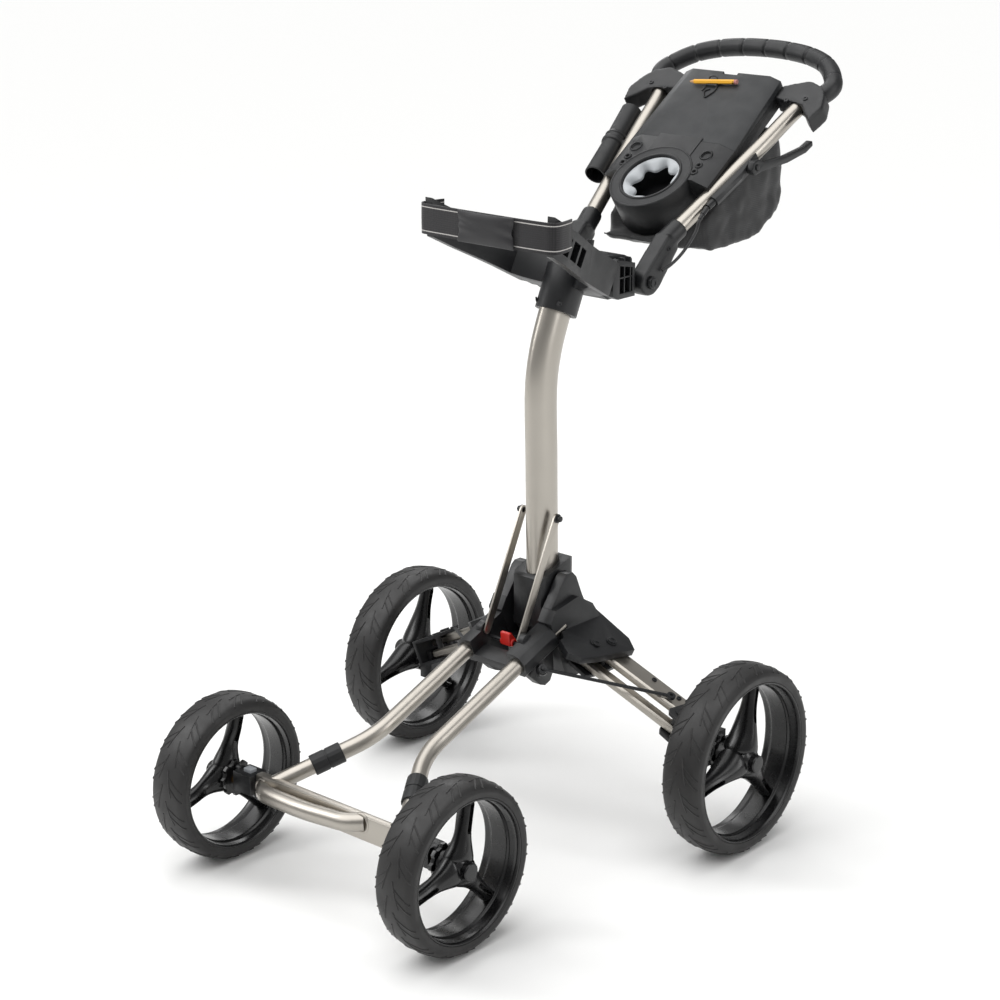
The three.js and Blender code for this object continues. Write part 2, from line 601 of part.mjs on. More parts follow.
function mastHead() {
  const { y, z } = ELBOW_PIVOT;
  const saddle = [
    [76, 240], [76, 205], [62, 215], [40, 223], [20, 228], [-20, 228], [-40, 223], [-62, 215],
    [-76, 205], [-76, 240], [-58, 252], [58, 252],
  ];
  const rear = [[250, 812], [262, 804], [318, 804], [318, 858], [300, 866], [262, 870], [248, 856]];
  const wide = [[252, 812], [264, 806], [304, 806], [304, 856], [262, 866], [252, 858]];
  let shape = toSolid(bar(vec(0, 221, 782), vec(0, 250, 845), 32.5, 18));
  const parts = [
    cradleWall(saddle, 0, CRADLE_HEIGHT), slab(rear, -66.5, 66.5), slab(wide, -84, 84),
    bar(vec(-67.2, y, z), vec(67.2, y, z), 17, 18), bar(vec(-96, y, z), vec(96, y, z), 6, 16),
    bar(vec(-99, y, z), vec(-94.6, y, z), 10, 6), bar(vec(94.6, y, z), vec(99, y, z), 10, 6),
  ];
  for (const part of parts) shape = shape.add(toSolid(part));
  for (const side of [(part) => part, mirrored]) {
    for (const x of [72, 56]) {
      const recess = slab([[268, 814], [298, 814], [298, 850], [268, 856]], x, x + 14);
      if (x === 72) shape = shape.subtract(toSolid(side(recess)));
    }
  }
  return cut(fromSolid(shape), mastSpace());
}
add(cart, 'mast_head', mastHead(), nylon);

function cradleArm() {
  const outline = [
    [126, 30], [121, 72], [114, 113], [100, 153], [93, 183], [89, 220], [86, 240], [76.3, 240],
    [76.3, 200], [79, 181], [87, 149], [101, 110], [108, 72], [112, 30],
  ];
  const knob = bar(vec(91, 186, 890), vec(91, 190, 908), 6, 10);
  let arm = join(cradleWall(outline), knob);
  arm = cut(arm, block(60, 140, 10, 72, 860, 990),
    slab([[251.6, 811], [264, 805.5], [304.4, 805.5], [304.4, 856.4], [262, 866.5],
      [251.6, 858.5]], 60, 84.4));
  const windows = [[84, 104], [110, 130], [136, 152]].map(([y0, y1]) => (
    cradleWall([[x0At(y0) + 3.5, y0], [x0At(y0) + 30, y0], [x0At(y1) + 30, y1],
      [x0At(y1) + 3.5, y1]], 12, CRADLE_HEIGHT - 12)));
  return cut(arm, ...windows);
}
// Inner face of the cradle arm at a given y.
function x0At(y) {
  const inner = [[72, 108], [110, 101], [149, 87], [181, 79], [200, 76.3]];
  const after = inner.findIndex(([at]) => at >= y);
  const [[ya, xa], [yb, xb]] = [inner[Math.max(after - 1, 0)], inner[after]];
  return ya === yb ? xa : xa + ((xb - xa) * (y - ya)) / (yb - ya);
}
addPair('cradle', cradleArm(), nylon);

// A thin strip that follows a plan line, standing up from one height to another.
function strip(line, thickness, z0, z1) {
  const left = [];
  const right = [];
  line.forEach(([x, y], i) => {
    const [ax, ay] = line[Math.max(i - 1, 0)];
    const [bx, by] = line[Math.min(i + 1, line.length - 1)];
    const length = Math.hypot(bx - ax, by - ay);
    const [nx, ny] = [(-(by - ay) / length) * thickness * 0.5, ((bx - ax) / length) * thickness * 0.5];
    left.push([x + nx, y + ny]);
    right.unshift([x - nx, y - ny]);
  });
  return prism([...left, ...right], z1 - z0, vec(0, 0, z0), X_AXIS, Y_AXIS);
}
const STRAP_LOW = 908;
const STRAP_HIGH = 953;
const strapLine = [
  [-122, 110], [-127, 90], [-129, 74], [-124, 65.5], [-110, 63], [-60, 62], [0, 61.5], [60, 62],
  [106, 64], [120, 66], [127, 72], [126.5, 90], [122, 110],
];
add(cart, 'strap', strip(strapLine, 2.4, STRAP_LOW, STRAP_HIGH), fabric);
add(cart, 'strap_patch', block(-46, 62, 52.5, 59.8, STRAP_LOW - 1, STRAP_HIGH + 1), nylon);

// ---------------------------------------------------------------- handle tubes and grip
const handleHalf = [
  HANDLE_ROOT, HANDLE_ROOT.clone().lerp(HANDLE_KNEE, 0.33), HANDLE_ROOT.clone().lerp(HANDLE_KNEE, 0.67),
  HANDLE_KNEE, ...HANDLE_LOOP.map(([x, y]) => (
    vec(x, y, HANDLE_KNEE.z + 0.686 * (y - HANDLE_KNEE.y)))),
];
const handleCurve = new THREE.CatmullRomCurve3([
  ...handleHalf, ...handleHalf.slice(0, -1).reverse().map((p) => vec(-p.x, p.y, p.z)),
], false, 'centripetal');

// Part of a longer curve, from one fraction of its length to another.
class Stretch extends THREE.Curve {
  constructor(base, from, to) {
    super();
    this.base = base;
    this.from = from;
    this.to = to;
  }

  getPoint(t, target = vec()) {
    return this.base.getPointAt(this.from + (this.to - this.from) * t, target);
  }
}
const handleLength = handleCurve.getLength();
const gripStart = 352 / handleLength;
const handleRun = new Stretch(handleCurve, 0, gripStart);
const TUBE_STEPS = 10;
addPair('handle_tube', swept(ringShape(HANDLE_RADIUS, HANDLE_RADIUS - 1.8, 12), handleRun,
  TUBE_STEPS), silver);
const tubeSpace = (grow = 0.8) => swept(ellipse(HANDLE_RADIUS + grow, HANDLE_RADIUS + grow, 12),
  new Stretch(handleCurve, -0, gripStart), TUBE_STEPS);
const gripRun = new Stretch(handleCurve, gripStart + GAP / handleLength,
  1 - gripStart - GAP / handleLength);
add(cart, 'grip', swept(ellipse(15, 15, 12), gripRun, 26), rubber);

function elbow() {
  const { y, z } = ELBOW_PIVOT;
  const run = HANDLE_KNEE.clone().sub(HANDLE_ROOT).normalize();
  const at = (distance) => HANDLE_ROOT.clone().addScaledVector(run, distance);
  const neck = slab([[322, 843], [338, 803], [352, 812], [398, 866], [372, 890]], 67.5, 94.3);
  const body = join(bar(vec(67.5, y, z), vec(94.3, y, z), 21, 20), neck, bar(at(-10), at(28), 16.5, 18));
  const socket = bar(at(-GAP), at(60), HANDLE_RADIUS + GAP + 0.1, 16);
  return cut(body, socket, bar(vec(60, y, z), vec(100, y, z), 6 + GAP, 16));
}
addPair('elbow', elbow(), nylon);

// ---------------------------------------------------------------- console
const pitch = deg(CONSOLE_PITCH);
const panelBack = vec(0, Math.cos(pitch), Math.sin(pitch));
const panelNormal = vec(0, -Math.sin(pitch), Math.cos(pitch));
const onPanel = (x, w, h = 0) => CONSOLE_MIDDLE.clone().setX(x).addScaledVector(panelBack, w)
  .addScaledVector(panelNormal, h);
const panelPrism = (outline, low, high) => (
  prism(outline, high - low, onPanel(0, 0, low), X_AXIS, panelBack));
const panelRun = (outline, w0, w1) => (
  prism(outline, w1 - w0, onPanel(0, w1), X_AXIS, panelNormal));
const panelPin = (x, w, low, high, radius, sides = 12) => (
  bar(onPanel(x, w, low), onPanel(x, w, high), radius, sides));

const CONSOLE = { front: -76, seam: 6.7, lid: 7, rear: 165, depth: -42, cupAt: -80.6, cup: 47 };
function consoleBody() {
  const { front, seam, rear, depth, cupAt, cup } = CONSOLE;
  const whole = [[-100, depth + 6], [-100, -12], [-75, 0], [75, 0], [100, -12], [100, depth + 6],
    [90, depth], [-90, depth]];
  const under = [[-100, depth + 6], [-100, -18.3], [-90.3, -18.3], [-72, -6.3], [72, -6.3],
    [90.3, -18.3], [100, -18.3], [100, depth + 6], [90, depth], [-90, depth]];
  const tongue = [[-41, seam + 6.6], [-41, cupAt], [41, cupAt], [41, seam + 6.6]];
  const lobe = panelPin(0, cupAt, -58, 1.5, 68, 28);
  const sides = [[100, 6], [116, 6], [116, 175], [92, 175], [92, 166]];
  let body = join(panelRun(whole, front, seam), panelRun(under, seam - 0.5, rear),
    panelPrism(tongue, -20, 1.5), lobe);
  const flare = panelPrism(sides, -70, 20);
  body = cut(body, flare, mirrored(flare));
  const trims = [
    panelPin(0, cupAt, -50, 5, cup, 24), panelPrism([[-78, 24], [78, 24], [74, 152], [-74, 152]],
      depth + 6, 5),
    ...[[69.4, -58.6], [-69.4, -58.6], [69.2, -44], [-69.2, -44]].map(([x, w]) => (
      panelPin(x, w, -14, 3, 2.6, 8))),
    panelPin(68.3, -20.8, -2.2, 3, 11, 14), panelPin(-68.3, -20.8, -2.2, 3, 11, 14),
  ];
  body = cut(body, ...trims);
  const tube = tubeSpace(1);
  return cut(body, tube, mirrored(tube));
}
add(cart, 'console_body', consoleBody(), nylon);

const PENCIL_FROM = onPanel(-58, 129, 5.2);
const PENCIL_TO = onPanel(30, 139, 5.2);
function consoleLid() {
  const { lid, rear, seam } = CONSOLE;
  const shell = [[-100, -18], [-100, -12], [-75, 0], [75, 0], [100, -12], [100, -18],
    [90, -18], [72, -6], [-72, -6], [-90, -18]];
  const sides = panelPrism([[100, 6], [116, 6], [116, 175], [92, 175], [92, 166]], -70, 20);
  const notch = panelPrism([[-41.4, 0], [41.4, 0], [41.4, seam + 7], [-41.4, seam + 7]], -30, 5);
  const latch = panelPrism([[-14, rear - 5], [14, rear - 5], [14, rear + 5], [-14, rear + 5]], -30, 5);
  const clip = panelPrism([[-24, 127], [-4, 127], [-4, 143], [-24, 143]], -1, 4.6);
  const groove = bar(PENCIL_FROM, PENCIL_TO, 4.1, 10);
  return cut(join(panelRun(shell, lid, rear), clip), sides, mirrored(sides), notch, latch, groove);
}
add(cart, 'console_lid', consoleLid(), lidGrey);
add(cart, 'pencil', bar(PENCIL_FROM, PENCIL_TO, 3.7, 6), pencilYellow);

// White star-shaped grip ring inside the cup holder.
function cupInsert() {
  const shape = ellipse(CONSOLE.cup - 0.7, CONSOLE.cup - 0.7, 24);
  const star = [];
  for (let i = 0; i < 14; i += 1) {
    const angle = (Math.PI * i) / 7;
    const radius = i % 2 ? 31 : 41;
    star.push(new THREE.Vector2(radius * Math.cos(angle), radius * Math.sin(angle)));
  }
  shape.holes.push(new THREE.Path(star));
  return prism(shape, 4, onPanel(0, CONSOLE.cupAt, -7), X_AXIS, panelBack);
}
add(cart, 'cup_insert', cupInsert(), insertWhite);

// Knuckle that clamps each handle tube to a rear corner of the console.
function handleClamp() {
  const outline = [
    [94, 622], [94, 646], [110, 652], [135, 660], [164, 652], [177, 638], [188, 615], [180, 590],
    [163, 602], [148, 616], [118, 620],
  ].map(([x, y]) => [x, (y - 511) / panelBack.y]);
  const body = panelPrism(outline, -46, -16);
  const tube = swept(ellipse(HANDLE_RADIUS + 0.9, HANDLE_RADIUS + 0.9, 12), handleRun, TUBE_STEPS);
  const grip = swept(ellipse(16, 16, 12),
    new Stretch(handleCurve, gripStart - 0.5 / handleLength, gripStart + 60 / handleLength), 6);
  return cut(body, tube, grip);
}
addPair('handle_clamp', handleClamp(), nylon);

// Holder for an umbrella shaft, beside the left tube.
function umbrellaHolder() {
  const low = vec(-134, 474, 941);
  const high = vec(-160, 598, 1026);
  const at = (t) => low.clone().lerp(high, t);
  const web = bar(at(0.5), at(0.5).add(vec(26, 3, -2)), 8, 10);
  const outer = join(bar(low, high, 18, 14), bar(at(0.45), at(0.57), 19.5, 14), web);
  return cut(outer, bar(at(-0.1), at(1.1), 15.5, 14), mirrored(tubeSpace(0.6)));
}
add(cart, 'umbrella_holder', umbrellaHolder(), nylon);

// ---------------------------------------------------------------- brake
const BRAKE_PIVOT = vec(136, 524, 977);
function brakeMount() {
  const { x, y, z } = BRAKE_PIVOT;
  const run = HANDLE_KNEE.clone().sub(HANDLE_ROOT).normalize();
  const along = (t) => HANDLE_ROOT.clone().addScaledVector(run, t).add(vec(18, 0, 4));
  const plate = bar(along(84), along(190), 9, 8);
  const stem = bar(along(70), along(86), 5.5, 10);
  const pin = bar(vec(x - 10, y, z), vec(x + 9, y, z), 4, 12);
  const body = cut(join(plate, stem), block(x - 5.3, x + 30, y - 24, y + 80, z - 30, z + 60));
  return cut(join(body, pin), tubeSpace(0.6));
}
add(cart, 'brake_mount', brakeMount(), nylon);

function brakeLever() {
  const { x, y, z } = BRAKE_PIVOT;
  const side = [
    [y - 12, z - 4], [y - 4, z - 12], [y + 12, z - 8], [y + 80, z - 3], [y + 130, z + 7],
    [y + 148, z + 16], [y + 146, z + 24], [y + 126, z + 16], [y + 78, z + 8], [y + 20, z + 6],
    [y + 4, z + 12], [y - 8, z + 9],
  ];
  return cut(slab(side, x - 5, x + 7), bar(vec(x - 20, y, z), vec(x + 20, y, z), 4 + GAP, 12));
}
add(cart, 'brake_lever', brakeLever(), nylon);

const cableStart = HANDLE_ROOT.clone().lerp(HANDLE_KNEE, 0.215).add(vec(18, 0, 4));
const cableLine = new THREE.CatmullRomCurve3([
  cableStart.clone().add(vec(0, -1, -1)), cableStart.clone().add(vec(1, -20, -15)),
  vec(112, 415, 892), vec(108, 388, 862), vec(103, 366, 846), vec(97.6, 352, 838),
]);
add(cart, 'brake_cable', swept(ellipse(2.6, 2.6, 8), cableLine, 16), nylon);

// ---------------------------------------------------------------- bag under the console
function storageBag() {
  const side = [
    [398, 868], [412, 858], [494, 843], [600, 852], [672, 892], [668, 950], [650, 1020],
    [632, 1019], [560, 967], [480, 912], [425, 876],
  ];
  const plan = [[60, 380], [62, 420], [96, 470], [98, 640], [86, 690], [-86, 690], [-98, 640],
    [-96, 470], [-62, 420], [-60, 380]];
  const body = toSolid(slab(side, -98, 98));
  const edge = toSolid(prism(plan, 300, vec(0, 0, 800), X_AXIS, Y_AXIS));
  const cup = toSolid(panelPin(0, CONSOLE.cupAt, -59, 40, 69.5, 28));
  return fromSolid(body.intersect(edge).subtract(cup));
}
add(cart, 'storage_bag', storageBag(), fabric);

export default cart;
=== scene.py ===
# Folding four-wheel golf push cart: finishes and fine shapes over its CAD frame
import json
import math

import bpy
from mathutils import Matrix, Vector

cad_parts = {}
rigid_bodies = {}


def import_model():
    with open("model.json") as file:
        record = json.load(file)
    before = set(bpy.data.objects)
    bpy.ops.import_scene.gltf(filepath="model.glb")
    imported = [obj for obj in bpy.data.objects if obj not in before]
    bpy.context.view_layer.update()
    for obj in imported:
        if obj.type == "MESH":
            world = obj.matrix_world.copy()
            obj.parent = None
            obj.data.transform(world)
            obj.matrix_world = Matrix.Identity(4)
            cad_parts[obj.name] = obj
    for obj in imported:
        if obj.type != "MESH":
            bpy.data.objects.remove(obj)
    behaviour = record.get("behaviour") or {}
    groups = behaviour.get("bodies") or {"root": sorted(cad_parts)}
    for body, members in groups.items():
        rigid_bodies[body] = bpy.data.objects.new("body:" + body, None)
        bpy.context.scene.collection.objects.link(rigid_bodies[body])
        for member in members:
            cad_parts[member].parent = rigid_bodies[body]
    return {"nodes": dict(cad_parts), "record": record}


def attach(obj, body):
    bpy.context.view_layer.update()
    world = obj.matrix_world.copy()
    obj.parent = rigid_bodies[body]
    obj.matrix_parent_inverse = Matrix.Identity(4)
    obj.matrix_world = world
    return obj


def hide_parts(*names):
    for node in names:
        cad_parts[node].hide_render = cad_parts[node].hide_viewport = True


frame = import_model()
bpy.ops.object.select_all(action="DESELECT")
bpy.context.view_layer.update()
nodes = frame["nodes"]
bodyOf = {}
for bodyName, members in frame["record"]["behaviour"]["bodies"].items():
    for member in members:
        bodyOf[member] = bodyName
print("frame loaded")

midY = 188.575  # mm from the middle of the wheelbase back to the middle of the cart
sideNames = {1: "right", -1: "left"}


def at(x, y, z):  # millimetres from the middle of the wheelbase, to metres in the row frame
    return Vector((x, y - midY, z)) / 1000


# materials


def linear(hexColor):
    levels = [int(hexColor[i : i + 2], 16) / 255 for i in (1, 3, 5)]
    return [c / 12.92 if c <= 0.04045 else ((c + 0.055) / 1.055) ** 2.4 for c in levels] + [1]


def addNode(tree, kind, inputs=None, **settings):
    made = tree.nodes.new(kind)
    for key, value in settings.items():
        setattr(made, key, value)
    for key, value in (inputs or {}).items():
        if isinstance(value, bpy.types.NodeSocket):
            tree.links.new(value, made.inputs[key])
        else:
            made.inputs[key].default_value = value
    return made


def finishOf(name, color, rough, metal=0.0, grain=None, depth=0.1, mottle=0.0, coat=0.0, ior=1.5):
    # grain is the size in mm of the surface's texture, depth how strongly it stands out
    made = bpy.data.materials.new(name)
    made.use_nodes = True
    tree = made.node_tree
    shader = tree.nodes["Principled BSDF"]
    shader.inputs["Base Color"].default_value = linear(color)
    shader.inputs["Roughness"].default_value = rough
    shader.inputs["Metallic"].default_value = metal
    if not metal:
        shader.inputs["IOR"].default_value = ior
    shader.inputs["Coat Weight"].default_value = coat
    shader.inputs["Coat Roughness"].default_value = 0.25
    place = addNode(tree, "ShaderNodeTexCoord").outputs["Object"]
    if mottle:
        clouds = addNode(tree, "ShaderNodeTexNoise", {"Vector": place, "Scale": 45, "Detail": 3})
        band = addNode(tree, "ShaderNodeMapRange", {
            "Value": clouds.outputs["Fac"], "From Min": 0.3, "From Max": 0.7,
            "To Min": rough - mottle, "To Max": rough + mottle})
        tree.links.new(band.outputs["Result"], shader.inputs["Roughness"])
    if grain:
        noise = addNode(tree, "ShaderNodeTexNoise", {
            "Vector": place, "Scale": 1000 / grain, "Detail": 2})
        bump = addNode(tree, "ShaderNodeBump", {
            "Height": noise.outputs["Fac"], "Strength": depth, "Distance": 0.0004})
        tree.links.new(bump.outputs["Normal"], shader.inputs["Normal"])
    return made


def wovenOf(name, dark, light, thread, rough=0.85):
    # plain weave, thread is the spacing in mm along both ways of the cloth
    made = bpy.data.materials.new(name)
    made.use_nodes = True
    tree = made.node_tree
    shader = tree.nodes["Principled BSDF"]
    shader.inputs["Roughness"].default_value = rough
    shader.inputs["Sheen Weight"].default_value = 0.25
    shader.inputs["Sheen Roughness"].default_value = 0.5
    place = addNode(tree, "ShaderNodeTexCoord").outputs["Object"]
    height = None
    for direction in ("X", "Z"):
        wave = addNode(tree, "ShaderNodeTexWave", {
            "Vector": place, "Scale": 1000 / thread / 6.283, "Distortion": 0.4},
            wave_type="BANDS", bands_direction=direction)
        if height is None:
            height = wave.outputs["Fac"]
        else:
            height = addNode(tree, "ShaderNodeMath", {0: height, 1: wave.outputs["Fac"]},
                             operation="MULTIPLY").outputs["Value"]
    ramp = addNode(tree, "ShaderNodeMix", {
        "Factor": height, "A": linear(dark), "B": linear(light)}, data_type="RGBA")
    tree.links.new(ramp.outputs[2], shader.inputs["Base Color"])
    bump = addNode(tree, "ShaderNodeBump", {"Height": height, "Strength": 0.3, "Distance": 0.0004})
    tree.links.new(bump.outputs["Normal"], shader.inputs["Normal"])
    return made


finishes = {
    # bead-blasted and clear-anodised aluminium: soft warm highlights
    "silver_tube": finishOf("satinAnodisedTube", "#aea9a1", 0.35, 1.0, 0.5, 0.015, 0.02),
    # glass-filled nylon, spark-eroded mould: even dull sheen
    "black_nylon": finishOf("mouldedNylon", "#131416", 0.42, 0, 0.6, 0.12, 0.05),
    # polished-mould nylon: crisp streaks of light
    "rim_plastic": finishOf("glossNylonRim", "#0e0e0f", 0.27, 0, None, 0, 0.04),
    # closed-cell EVA foam skin: matt with a faint grey bloom
    "tyre": finishOf("foamTread", "#1a1919", 0.5, 0, 0.9, 0.16, 0.07),
    # soft-touch rubber: a broad dull highlight along each segment
    "grip_rubber": finishOf("softTouchGrip", "#151618", 0.45, 0, 0.8, 0.15, 0.06),
    # moulded rubber: dull, with a fine grain that breaks up the light
    "sleeve_rubber": finishOf("mouldedRubber", "#121315", 0.55, 0, 0.8, 0.12),
    # mould-textured ABS: a low even sheen
    "console_plastic": finishOf("texturedABS", "#151618", 0.5, 0, 0.7, 0.14, 0.05),
    # ABS from a coarser mould: flat; its colour is set lighter than the console around it as painted
    # light, standing in for the light that falls on its up-facing top
    "lid_plastic": finishOf("lidPlasticPaintedTopLight", "#1f2123", 0.52, 0, 0.7, 0.16, 0.05),
    # white thermoplastic rubber: pale and waxy
    "insert_rubber": finishOf("whiteTPE", "#c3c7ca", 0.5, 0, 0.8, 0.05),
    # zinc-plated steel: bright and a little uneven
    "steel": finishOf("zincPlatedSteel", "#b9babb", 0.32, 1.0, 0.6, 0.05, 0.06),
    # yellow-chromated steel: golden glints
    "brass": finishOf("yellowChromateNut", "#c0923f", 0.3, 1.0, 0.6, 0.05, 0.06),
    # black-oxide steel: dark, with small sharp glints
    "black_steel": finishOf("blackOxideSteel", "#1b1c1e", 0.38, 0.2, 0.5, 0.08),
    # moulded acetal: smooth grey with a soft gloss
    "button_plastic": finishOf("greyAcetal", "#9a9ea2", 0.45, 0, 0.6, 0.05),
    # moulded acetal, dyed through: a bright red with a clean gloss
    "red_plastic": finishOf("redAcetal", "#c3261f", 0.35, 0, 0.6, 0.03),
    # embossed synthetic leather: pebbles that catch the light
    "patch": finishOf("syntheticLeather", "#18171a", 0.42, 0, 1.3, 0.25, 0.05),
    # heavy woven polyester: ribbed and nearly black
    "webbing": wovenOf("polyesterWebbing", "#121113", "#2b292c", 1.6),
    # twisted polyester thread: pale dry rows along the webbing
    "edgeThread": finishOf("greyPolyesterThread", "#b9b6b3", 0.8, 0, 1.0, 0.2),
    # coated woven polyester: dull folds, its weave drawn coarser than real so that it shows
    "bag_cloth": wovenOf("coatedPolyesterCloth", "#0f0f11", "#1d1e20", 1.5, 0.7),
    # extruded vinyl: smooth black with a thin highlight
    "cable": finishOf("vinylCableHousing", "#1a1a1c", 0.4, 0, 0.7, 0.05),
    # dipped lacquer: bright yellow under a clear coat
    "pencil_paint": finishOf("yellowLacquer", "#f0ae08", 0.3, 0, None, 0, 0, 0.3),
    # sharpened cedar: warm and dry
    "pencil_wood": finishOf("cedarWood", "#c89a70", 0.7, 0, 0.8, 0.2),
    # eraser rubber: chalky pink
    "pencil_end": finishOf("pinkEraser", "#b9807c", 0.8, 0, 0.8, 0.1),
}
print("finishes mixed")

# tools for shaping


def pick(*chosen):
    bpy.ops.object.select_all(action="DESELECT")
    for obj in chosen:
        obj.select_set(True)
    bpy.context.view_layer.objects.active = chosen[0]
    return chosen[0]


def edit(obj, *steps):  # steps are functions run in edit mode with everything selected
    pick(obj)
    bpy.ops.object.mode_set(mode="EDIT")
    bpy.ops.mesh.select_all(action="SELECT")
    for step in steps:
        step()
    bpy.ops.object.mode_set(mode="OBJECT")
    return obj


def weld():
    bpy.ops.mesh.remove_doubles(threshold=0.00002)


def faceOut():
    bpy.ops.mesh.normals_make_consistent(inside=False)


def settle(obj):
    pick(obj)
    bpy.ops.object.transform_apply(location=True, rotation=True, scale=True)
    return obj


def modify(obj, kind, **settings):
    pick(obj)
    bpy.ops.object.modifier_add(type=kind)
    added = obj.modifiers[-1]
    for key, value in settings.items():
        setattr(added, key, value)
    bpy.ops.object.modifier_apply(modifier=added.name)
    return obj


def bevelled(obj, width, segments=2, angle=32):
    return modify(obj, "BEVEL", width=width / 1000, segments=segments, limit_method="ANGLE",
                  angle_limit=math.radians(angle), profile=0.6)


def cutWith(obj, tool):  # takes the tool's shape out of a piece
    modify(obj, "BOOLEAN", object=tool, operation="DIFFERENCE", solver="EXACT")
    bpy.data.objects.remove(tool)
    return obj


def joined(*parts):
    pick(*parts)
    bpy.ops.object.join()
    return bpy.context.object


def copied(obj, flip=False):
    pick(obj)
    bpy.ops.object.duplicate()
    copy = bpy.context.object
    if flip:
        copy.scale.x *= -1
        settle(copy)
        edit(copy, faceOut)
    return copy


def dress(obj, name, body, finish, angle=35):
    settle(obj)
    obj.name = name
    obj.data.name = name
    if finish:
        obj.data.materials.clear()
        obj.data.materials.append(finishes[finish])
    bpy.ops.object.shade_smooth_by_angle(angle=math.radians(angle))
    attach(obj, body)
    return obj


def onBothSides(obj, name, replaced, body, finish, angle=35):
    # a right-hand piece and its mirror image, {} in the names stands for the side
    for sign, side in sideNames.items():
        piece = copied(obj, flip=sign < 0)
        dress(piece, name.format(side), body, finish, angle=angle)
        if replaced:
            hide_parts(replaced.format(side))
    bpy.data.objects.remove(obj)


def boxOf(low, high, width):  # a block between two corners in mm, with its edges bevelled
    low, high = at(*low), at(*high)
    bpy.ops.mesh.primitive_cube_add(size=1, location=(low + high) / 2)
    obj = bpy.context.object
    obj.scale = high - low
    settle(obj)
    return bevelled(obj, width)


def rodOf(start, end, radius, sides=32, tip=None):  # a straight bar between two points in metres
    axis = end - start
    bpy.ops.mesh.primitive_cone_add(
        vertices=sides, radius1=radius / 1000, radius2=(radius if tip is None else tip) / 1000,
        depth=axis.length, location=(start + end) / 2)
    obj = bpy.context.object
    obj.rotation_mode = "QUATERNION"
    obj.rotation_quaternion = axis.to_track_quat("Z", "Y")
    return settle(obj)


def ringOf(profile, steps=96):  # profile of (x, radius) in mm, turned about the x axis
    bpy.ops.mesh.primitive_plane_add(size=0.002)
    obj = bpy.context.object

    def draw():
        bpy.ops.mesh.merge(type="CENTER")
        bpy.ops.transform.translate(value=(profile[0][0] / 1000, 0, profile[0][1] / 1000))
        for (x0, r0), (x1, r1) in zip(profile, profile[1:]):
            bpy.ops.mesh.extrude_region_move(
                TRANSFORM_OT_translate={"value": ((x1 - x0) / 1000, 0, (r1 - r0) / 1000)})
        bpy.ops.mesh.select_all(action="SELECT")
        bpy.ops.mesh.spin(steps=steps, angle=2 * math.pi, center=(0, 0, 0), axis=(1, 0, 0))
        bpy.ops.mesh.select_all(action="SELECT")
        weld()
        faceOut()

    return edit(obj, draw)


def softCorners(profile, radius, count=4):  # rounds the inner corners of a profile
    rounded = [profile[0]]
    for before, corner, after in zip(profile, profile[1:], profile[2:]):
        a, b, c = Vector(before), Vector(corner), Vector(after)
        reach = min(radius, (a - b).length * 0.45, (c - b).length * 0.45)
        start = b + (a - b).normalized() * reach
        finish = b + (c - b).normalized() * reach
        for i in range(count + 1):
            t = i / count
            rounded.append(tuple(start * (1 - t) ** 2 + b * 2 * t * (1 - t) + finish * t * t))
    return rounded + [profile[-1]]


def bendCorners(points, radius, count=10):  # a route whose corners are rounded
    route = [points[0]]
    for a, b, c in zip(points, points[1:], points[2:]):
        reach = min(radius / 1000, (a - b).length * 0.45, (c - b).length * 0.45)
        start = b + (a - b).normalized() * reach
        finish = b + (c - b).normalized() * reach
        for i in range(count + 1):
            t = i / count
            route.append(start * (1 - t) ** 2 + b * 2 * t * (1 - t) + finish * t * t)
    return route + [points[-1]]


def between(a, b, start, end, t):
    return a * ((end - t) / (end - start)) + b * ((t - start) / (end - start))


def throughPoints(points, count=8):  # a smooth route through every point, whatever their spacing
    route = []
    line = [points[0] * 2 - points[1]] + points + [points[-1] * 2 - points[-2]]
    for a, b, c, d in zip(line, line[1:], line[2:], line[3:]):
        t1 = math.sqrt((b - a).length)
        t2 = t1 + math.sqrt((c - b).length)
        t3 = t2 + math.sqrt((d - c).length)
        for i in range(count):
            t = t1 + (t2 - t1) * i / count
            ab, bc, cd = between(a, b, 0, t1, t), between(b, c, t1, t2, t), between(c, d, t2, t3, t)
            route.append(between(between(ab, bc, 0, t2, t), between(bc, cd, t1, t3, t), t1, t2, t))
    return route + [points[-1]]


def stretchOf(route, start, end, step):  # evenly spaced points of a route between two lengths in mm
    lengths = [0]
    for a, b in zip(route, route[1:]):
        lengths.append(lengths[-1] + (b - a).length * 1000)
    end = lengths[-1] if end is None else end
    count = max(2, round((end - start) / step))
    picked = []
    for i in range(count + 1):
        goal = start + (end - start) * i / count
        k = max(j for j in range(len(lengths) - 1) if lengths[j] <= goal + 1e-6)
        picked.append(route[k].lerp(route[k + 1], (goal - lengths[k]) / (lengths[k + 1] - lengths[k])))
    return picked


def tubeOf(route, radius, resolution=6, oval=None, swell=None):  # one route, or several
    bpy.ops.curve.primitive_nurbs_path_add()
    obj = bpy.context.object
    data = obj.data
    data.splines.clear()
    for line in route if isinstance(route[0], list) else [route]:
        spline = data.splines.new("POLY")
        spline.points.add(len(line) - 1)
        for i, (point, place) in enumerate(zip(spline.points, line)):
            point.co = (*place, 1)
            point.radius = swell(i / (len(line) - 1)) if swell else 1
    data.dimensions = "3D"
    data.use_fill_caps = True
    shape = None
    if oval:
        bpy.ops.curve.primitive_bezier_circle_add(radius=0.001)
        shape = bpy.context.object
        shape.scale = (oval[0], oval[1], 1)
        settle(shape)
        shape.data.resolution_u = 10
        data.bevel_mode = "OBJECT"
        data.bevel_object = shape
    else:
        data.bevel_depth = radius / 1000
        data.bevel_resolution = resolution
    pick(obj)
    bpy.ops.object.convert(target="MESH")
    obj = bpy.context.object
    if shape:
        bpy.data.objects.remove(shape)
    return edit(obj, weld, faceOut)


